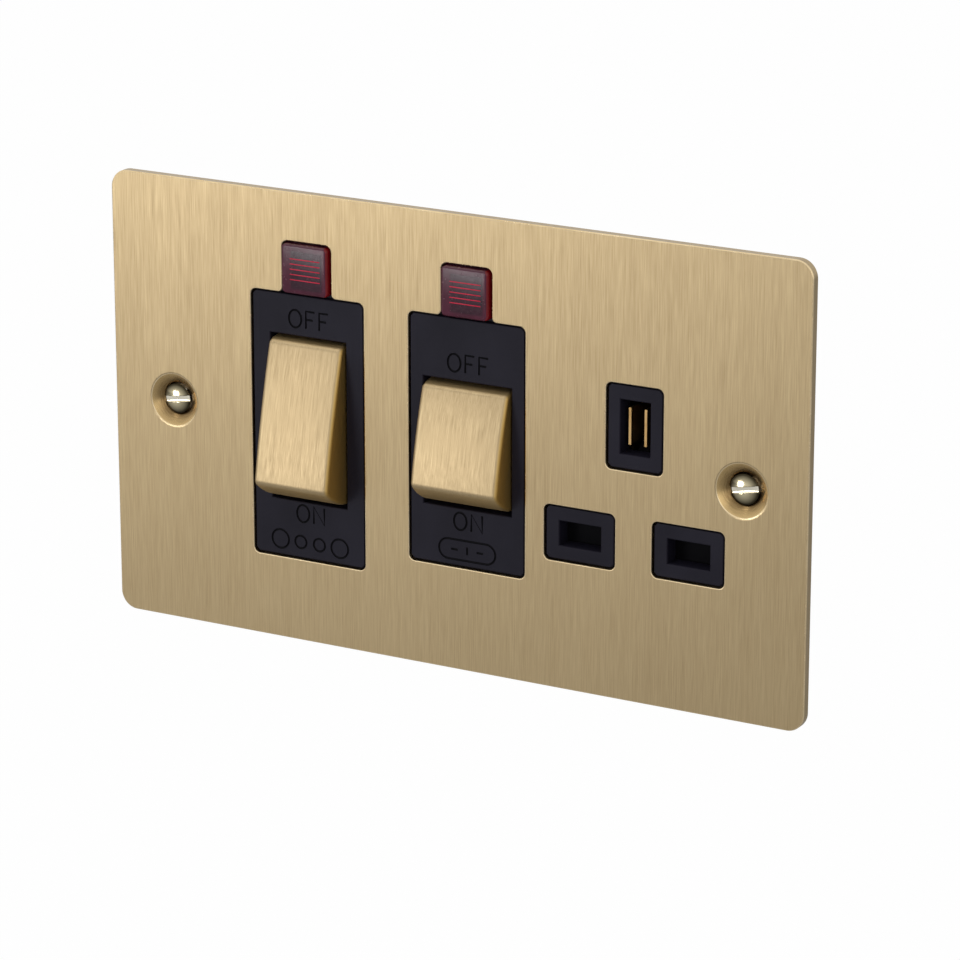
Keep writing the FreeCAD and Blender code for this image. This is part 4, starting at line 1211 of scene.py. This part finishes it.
@dataclass
class RockerCap:
    """A brass rocker cap: flanks struck from the pivot, a crowned face and rounded edges."""

    switch: str
    x: float
    open_width: float
    open_height: float
    reach: float
    tilt: float
    pivot: float = 1.15
    side_gap: float = 0.25
    end_gap: float = 0.4
    crown: float = 0.4
    skirt: float = 0.6
    wall: float = 1.0
    past: float = 1.0
    slot_half: float = 1.85
    steps: tuple[int, int] = (14, 8)
    end_round: float = 1.4
    side_round: float = 0.8
    # Where the painted reflection on the right side and the ends begins, how softly it fades in, and how
    # strong it is at the ends
    right_from: float = 0.3
    away_from: float = 0.88
    fade: float = 0.5
    end_reflection_share: float = 0.4

    def form(self) -> Piece:
        """Spins the cap's outline about its three kinds of centre and draws it out across.

        Returns:
            The form, upright about its pivot.
        """
        half = self.open_width / 2 - self.side_gap
        flank = self.open_height / 2 - self.end_gap
        chord = math.sqrt(flank ** 2 - self.reach ** 2)
        arc = (chord ** 2 + self.crown ** 2) / (2 * self.crown)
        crown_y = self.pivot + arc - self.reach - self.crown
        bend, apart = self.end_round, crown_y - self.pivot
        # the rounding's centre lies inside both the flank's circle and the crown's
        along_y = ((flank - bend) ** 2 - (arc - bend) ** 2 + apart ** 2) / (2 * apart)
        up = math.sqrt((flank - bend) ** 2 - along_y ** 2)
        bend_y = self.pivot + along_y
        start = math.asin(self.skirt / flank)
        flank_turn = math.atan2(up, -along_y)
        crown_turn = math.atan2(up, crown_y - bend_y)
        deselect()
        low = (self.x - half) * MM
        rear = (self.pivot + self.skirt) * MM
        foot = -flank * math.cos(start) * MM
        bpy.ops.mesh.primitive_circle_add(vertices=3, radius=MM, location=(low, rear, foot))
        cap = settle(self.switch + "_cap")
        with editing(cap, Pick.POINTS) as mesh:
            mesh.verts.ensure_lookup_table()
            for vertex in mesh.verts[1:]:
                vertex.select_set(True)
            bpy.ops.mesh.delete(type="VERT")
            pick_all()
            mesh.verts.ensure_lookup_table()
            at = mesh.verts[0].co
            bpy.ops.transform.translate(value=(low - at.x, rear - at.y, foot - at.z))
            many, few = self.steps
            side = (self.pivot, 0.0, math.pi / 2 + start - flank_turn, many)
            spins = [
                side, (bend_y, -up, flank_turn - crown_turn, few), (crown_y, 0.0, 2 * crown_turn, few),
                (bend_y, up, flank_turn - crown_turn, few), side,
            ]
            for y, z, turn, steps in spins:
                bpy.ops.mesh.spin(steps=steps, angle=turn, center=(low, y * MM, z * MM), axis=(1.0, 0.0, 0.0))
            pick_all()
            bpy.ops.mesh.remove_doubles(threshold=SEAM)
            pick_all()
            bpy.ops.mesh.edge_face_add()
            bpy.ops.mesh.extrude_region_move(TRANSFORM_OT_translate={"value": (2 * half * MM, 0.0, 0.0)})
            pick_all()
            bpy.ops.mesh.normals_make_consistent(inside=False)
        return cap

    def hollow(self) -> Piece:
        """Makes the tool that hollows the cap, a wall's thickness inside it."""
        half = self.open_width / 2 - self.side_gap - self.wall
        flank = self.open_height / 2 - self.end_gap - self.wall
        front, rear = self.pivot - self.reach + self.wall, self.pivot + self.skirt + self.past
        room = block("room", (self.x - half, front, -flank), (self.x + half, rear, flank))
        ends = drum("flanks", Axis.X, flank, (self.x, self.pivot, 0.0), 2 * half + 4 * self.past, 120)
        return trim(room, ends, Join.KEEP)

    def build(self) -> Piece:
        """Models the cap and tilts it to its rest place."""
        cap = self.form()
        half, rear = self.open_width / 2, self.pivot + self.skirt
        low, high = self.x - half + self.side_gap, self.x + half - self.side_gap

        def at_side(edge: Edge) -> bool:
            """Tells whether an edge goes round one of the cap's sides, but not along its rear."""
            around = any(in_plane(edge, Axis.X, x) for x in (low, high))
            return around and not in_plane(edge, Axis.Y, rear)

        bevel(cap, at_side, self.side_round, 6)
        trim(cap, self.hollow())
        slot = self.slot_half
        trim(cap, block(
            "slot", (self.x - half, self.pivot - slot, -slot), (self.x + half, rear + self.past, slot)))
        rotate_all(cap, self.tilt, Axis.X, (self.x, self.pivot, 0.0))
        return smooth(cap, 35.0)

    def paint_flank_reflection(self, cap: Piece) -> None:
        """Writes on each point how far its normal turns to the right and, more weakly, to the left or an end:
        where the deeper gold of the painted reflection goes.

        Args:
            cap: The finished cap.
        """
        lean = math.radians(self.tilt)
        ahead = Vector((0.0, -math.cos(lean), math.sin(lean)))
        layer = cap.data.attributes.new("flank", "FLOAT", "POINT")
        for vertex, value in zip(cap.data.vertices, layer.data):
            right = min(1.0, max(0.0, (vertex.normal.x - self.right_from) / self.fade))
            away = min(1.0, max(0.0, (self.away_from - vertex.normal.dot(ahead)) / self.fade))
            value.value = max(right, away * self.end_reflection_share)

    def dress(self, paints: Paints) -> None:
        """Builds the cap and puts it in place of its solid."""
        cap = self.build()
        paint(cap, paints.rocker)
        self.paint_flank_reflection(cap)
        stand_for(cap, self.switch + "_rocker", Slot.SATIN_BRASS, self.switch + "_rocker_cap")


@dataclass
class NeonLens:
    """A clear red lens with fine ribs across its face."""

    switch: str
    x: float
    front: float = -3.70
    plate_rear: float = PLATE_REAR
    low: float = 24.675
    high: float = 34.2
    half: float = 4.975
    corner: float = 0.9
    arris: float = 0.5
    lip_half: float = 5.88
    lip_low: float = 24.695
    lip_high: float = 35.275
    lip_depth: float = 1.0
    lip_corner: float = 0.6
    skin: float = 1.3
    room: Spot = (2.55, 3.5)
    rib_left: float = 3.05
    rib_right: float = 3.45
    rib_proud: float = 0.03
    rib_depth: float = 0.4
    rib_half: float = 0.10
    rib_arris: float = 0.04
    pitch: float = 1.0
    # Where the right side's painted light begins
    lit_side_from: float = 0.3
    foot: float = 0.2

    def build(self) -> Piece:
        """Models the lens."""
        lens = rounded_block(
            self.switch + "_lens", (self.x - self.half, self.front, self.low),
            (self.x + self.half, self.plate_rear + self.foot, self.high), self.corner)
        bevel(lens, lambda e: in_plane(e, Axis.Y, self.front), self.arris, 4)
        lip = rounded_block(
            "lip", (self.x - self.lip_half, self.plate_rear, self.lip_low),
            (self.x + self.lip_half, self.plate_rear + self.lip_depth, self.lip_high), self.lip_corner)
        trim(lens, lip, Join.ADD)
        middle = (self.low + self.high) / 2
        wide, high = self.room
        trim(lens, block(
            "hollow", (self.x - wide, self.front + self.skin, middle - high),
            (self.x + wide, self.plate_rear + 2 * self.lip_depth, middle + high)))
        return smooth(lens, 30.0)

    def ribs(self) -> Piece:
        """Models the ribs across the face."""
        front = self.front - self.rib_proud
        bars = []
        for step in range(-2, 3):
            z = (self.low + self.high) / 2 + step * self.pitch
            bar = block(
                "rib", (self.x - self.rib_left, front, z - self.rib_half),
                (self.x + self.rib_right, front + self.rib_depth, z + self.rib_half))
            bars.append(shape_with(bar, "BEVEL", width=self.rib_arris * MM, segments=2))
        return smooth(merged(bars, self.switch + "_lens_ribs"), 30.0)

    def finish_of(self, face: Face) -> int:
        """Tells whether a face looks to the right, ahead of the lip, and so takes the brighter red of painted
        light: 1 if it does, otherwise 0.
        """
        return int(face.normal.x > self.lit_side_from and face.calc_center_median().y < self.plate_rear * MM)

    def dress(self, paints: Paints) -> None:
        """Builds the lens and puts it in place of its solid."""
        lens = self.build()
        paint(lens, paints.cooker_lens if self.switch == "cooker" else paints.socket_lens, paints.lens_lit_side)
        paint_faces(lens, self.finish_of)
        stand_for(lens, "unit", Slot.RED_LENS, self.switch + "_neon_lens")
        ribs = self.ribs()
        # The ribs' bright red is a painted reflection
        paint(ribs, paints.rib)
        stand_for(ribs, "unit", Slot.RED_LENS)


@dataclass
class FixingScrews:
    """Two raised countersunk brass screws with slots and cut threads."""

    line: float = FIXING
    seat: float = -1.75
    head: float = 2.9
    dome: float = 0.7
    dome_steps: int = 10
    rim: float = 0.12
    shank: float = 1.75
    neck: float = 1.6
    root: float = 1.42
    thread: float = 0.6
    valley: Spot = (0.42, 0.58)
    length: float = 20.0
    plain: float = 1.0
    point: float = 0.9
    point_share: float = 0.6
    slot: float = 1.1
    slot_depth: float = 1.0
    slot_reach: float = 6.0
    past: float = 1.0
    margin: float = 0.05
    slot_arris: float = 0.09
    turns: Spot = (7.5, 9.5)

    def profile(self) -> list[Spot]:
        """Gives the screw's turned profile, from the dome to the point."""
        points: list[Spot] = []
        arc = (self.head ** 2 + self.dome ** 2) / (2 * self.dome)
        for k in range(1, self.dome_steps + 1):
            radius = self.head * k / self.dome_steps
            points.append((self.seat - self.dome + arc - math.sqrt(arc ** 2 - radius ** 2), radius))
        under = self.seat + self.head - self.shank
        y = under + self.neck
        points += [(self.seat + self.rim, self.head), (under, self.shank), (y, self.shank)]
        while y + self.thread < self.length - self.plain:
            points += [(y + self.thread * share, self.root) for share in self.valley]
            y += self.thread
            points.append((y, self.shank))
        points += [(self.length - self.point, self.root), (self.length, self.root * self.point_share)]
        return points

    def build(self, x: float, turn: float) -> Piece:
        """Models one screw.

        Args:
            x: Where it stands across, in millimetres.
            turn: How far its slot is turned, in degrees.

        Returns:
            The screw.
        """
        screw = turned("screw", self.profile(), x, 48)
        top, half = self.seat - self.dome, self.slot / 2
        floor = top + self.slot_depth
        trim(screw, block(
            "slot", (x - self.slot_reach, top - self.past, -half), (x + self.slot_reach, floor, half)))

        def lip(edge: Edge) -> bool:
            """Tells whether an edge is one of the slot's upper edges."""
            above = all(v.co.y < (floor - self.margin) * MM for v in edge.verts)
            return above and sharp(edge, 50.0) and any(in_plane(edge, Axis.Z, z) for z in (-half, half))

        bevel(screw, lip, self.slot_arris, 2)
        rotate_all(screw, turn, Axis.Y, (x, 0.0, 0.0))
        return smooth(screw, 35.0)

    def finish_of(self, face: Face) -> int:
        """Tells whether a face belongs to the dome: 1 if it does, otherwise 0."""
        flat, steep = -0.9998, -0.8
        return int(flat < face.normal.y < steep and face.calc_center_median().y < self.seat * MM)

    def dress(self, paints: Paints) -> None:
        """Builds both screws and puts them in place of their solid."""
        both = [self.build(x, turn) for x, turn in zip((-self.line, self.line), self.turns)]
        screws = merged(both, "wall_screws")
        # The domes take the screw head's finish, with its painted shade at the rim
        paint(screws, paints.polished, paints.head)
        paint_faces(screws, self.finish_of)
        stand_for(screws, "unit", Slot.POLISHED_BRASS, "fixing_screws")


@dataclass
class ShutterSpring:
    """The coil under the shutter, which shortens as the shutter drops."""

    foot: float = -28.0
    top: float = -17.2

    def dress(self, paints: Paints) -> None:
        """Copies the coil's solid, finishes it and puts it in place of its solid."""
        coil = smooth(copy_of("shutter_spring", "shutter_coil"), 50.0)
        paint(coil, paints.steel)
        middle = sum((vertex.co for vertex in coil.data.vertices), Vector()) / len(coil.data.vertices)
        ends = [(middle.x, middle.y, z * MM) for z in (self.foot, self.top)]
        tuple(ends[0])
        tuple(ends[1])
        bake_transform(coil)
        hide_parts("shutter_spring")
        log.info("%s stretches from unit to shutter: %d faces", coil.name, len(coil.data.polygons))


def dress_solids(paints: Paints) -> None:
    """Gives every solid its finish.

    Args:
        paints: The finishes.
    """
    slots = {part["node"]: Slot(part["material_slot"]) for part in frame["record"]["subparts"]}
    for node, solid in frame["nodes"].items():
        # The shutter takes the darker moulding of painted shade
        paint(solid, paints.shutter_shade if node == "shutter" else paints.by_slot(slots[node]))
    log.info("%d solids dressed", len(frame["nodes"]))


# Studio


@dataclass
class Studio:
    """A pale floor, a white surround, soft lamps and the camera."""

    floor: float = -0.17
    floor_size: float = 8.0
    floor_tone: Colour = (0.66, 0.66, 0.66)
    floor_glow: float = 0.985
    floor_sheen: float = 0.05
    surround: float = 0.60
    surround_tone: Colour = (0.98, 0.99, 1.0)
    lamps: tuple[tuple[str, Point, float, float], ...] = (
        ("key", (-0.69, -1.10, -0.03), 0.45, 4.9),
        ("top", (-0.42, -0.28, 0.78), 0.45, 1.2),
        ("fill", (0.9, -1.2, 0.25), 1.0, 2.0))
    azimuth: float = 29.0
    elevation: float = 17.3
    distance: float = 0.818
    lens: float = 165.75
    sensor: float = 36.0
    clip: Spot = (0.01, 50.0)
    target: Point = (0.0067, -0.00285, -0.0060)

    def world(self) -> None:
        """Makes the surround: white to the camera and in reflections, softer as light."""
        world = bpy.data.worlds.new("studio")
        bpy.context.scene.world = world
        world.use_nodes = True
        tree = Tree(world.node_tree)
        tree.nodes.clear()
        rays = tree.add("ShaderNodeLightPath").outputs
        mirrored = tree.sum("MAXIMUM", rays["Is Camera Ray"], rays["Is Glossy Ray"])
        seen = tree.sum("MAXIMUM", mirrored, rays["Is Transmission Ray"])
        light = tree.add(
            "ShaderNodeBackground", {"Color": (*self.surround_tone, 1.0), "Strength": self.surround})
        white = tree.add("ShaderNodeBackground", {"Color": (*WHITE, 1.0)})
        mix = tree.add("ShaderNodeMixShader", {0: seen, 1: light.outputs[0], 2: white.outputs[0]})
        tree.add("ShaderNodeOutputWorld", {"Surface": mix.outputs[0]})

    def ground(self) -> None:
        """Lays the floor, which shows white with the object's soft shadow."""
        deselect()
        bpy.ops.mesh.primitive_plane_add(size=self.floor_size, location=(0.0, 0.0, self.floor))
        floor = bpy.context.object
        floor.name = "floor"
        shader = Shader("floor")
        shader.nodes.remove(shader.surface)
        diffuse = shader.add("ShaderNodeBsdfDiffuse", {"Color": (*self.floor_tone, 1.0)})
        glow = shader.add("ShaderNodeEmission", {"Color": (*WHITE, 1.0)})
        rays = shader.add("ShaderNodeLightPath").outputs
        seen = shader.sum("MULTIPLY", rays["Is Camera Ray"], self.floor_glow)
        mirrored = shader.sum("MULTIPLY", rays["Is Glossy Ray"], self.floor_sheen)
        share = shader.sum("MAXIMUM", seen, mirrored)
        mix = shader.add("ShaderNodeMixShader", {0: share, 1: diffuse.outputs[0], 2: glow.outputs[0]})
        shader.links.new(mix.outputs[0], shader.nodes["Material Output"].inputs["Surface"])
        paint(floor, shader.material)

    def lamp(self, name: str, place: Point, size: float, power: float) -> None:
        """Adds a soft square lamp that faces the object.

        Args:
            name: The lamp's name.
            place: Where it stands, in metres.
            size: Its side, in metres.
            power: Its power, in watts.
        """
        data = bpy.data.lights.new(name, "AREA")
        data.shape = "SQUARE"
        data.size = size
        data.energy = power
        lamp = bpy.data.objects.new(name, data)
        bpy.context.scene.collection.objects.link(lamp)
        lamp.location = place
        lamp.rotation_euler = (-Vector(place)).to_track_quat("-Z", "Y").to_euler()

    def camera(self) -> None:
        """Sets the camera where the photograph was taken from."""
        data = bpy.data.cameras.new("camera")
        data.lens = self.lens
        data.sensor_width = self.sensor
        data.clip_start, data.clip_end = self.clip
        camera = bpy.data.objects.new("camera", data)
        bpy.context.scene.collection.objects.link(camera)
        turn, lift = math.radians(self.azimuth), math.radians(self.elevation)
        back = Vector((math.sin(turn) * math.cos(lift), -math.cos(turn) * math.cos(lift), math.sin(lift)))
        camera.location = Vector(self.target) + back * self.distance
        camera.rotation_euler = (-back).to_track_quat("-Z", "Y").to_euler()
        bpy.context.scene.camera = camera

    def build(self) -> None:
        """Sets the whole studio."""
        self.world()
        self.ground()
        for name, place, size, power in self.lamps:
            self.lamp(name, place, size, power)
        self.camera()
        bpy.context.scene.view_settings.view_transform = "Standard"


def main() -> None:
    """Dresses the unit and sets the studio."""
    logging.basicConfig(level=logging.INFO, format="%(message)s")
    paints = Paints()
    dress_solids(paints)
    FrontPlate().dress(paints)
    FrontMoulding().dress(paints)
    BackHousing().dress(paints)
    RockerCap("cooker", COOKER, 16.5, 32.6, 8.1, 13.0).dress(paints)
    RockerCap("socket", SOCKET, 18.7, 24.7, 7.3, 14.0).dress(paints)
    NeonLens("cooker", COOKER).dress(paints)
    NeonLens("socket", SOCKET).dress(paints)
    FixingScrews().dress(paints)
    ShutterSpring().dress(paints)
    Studio().build()


if __name__ == "__main__":
    main()
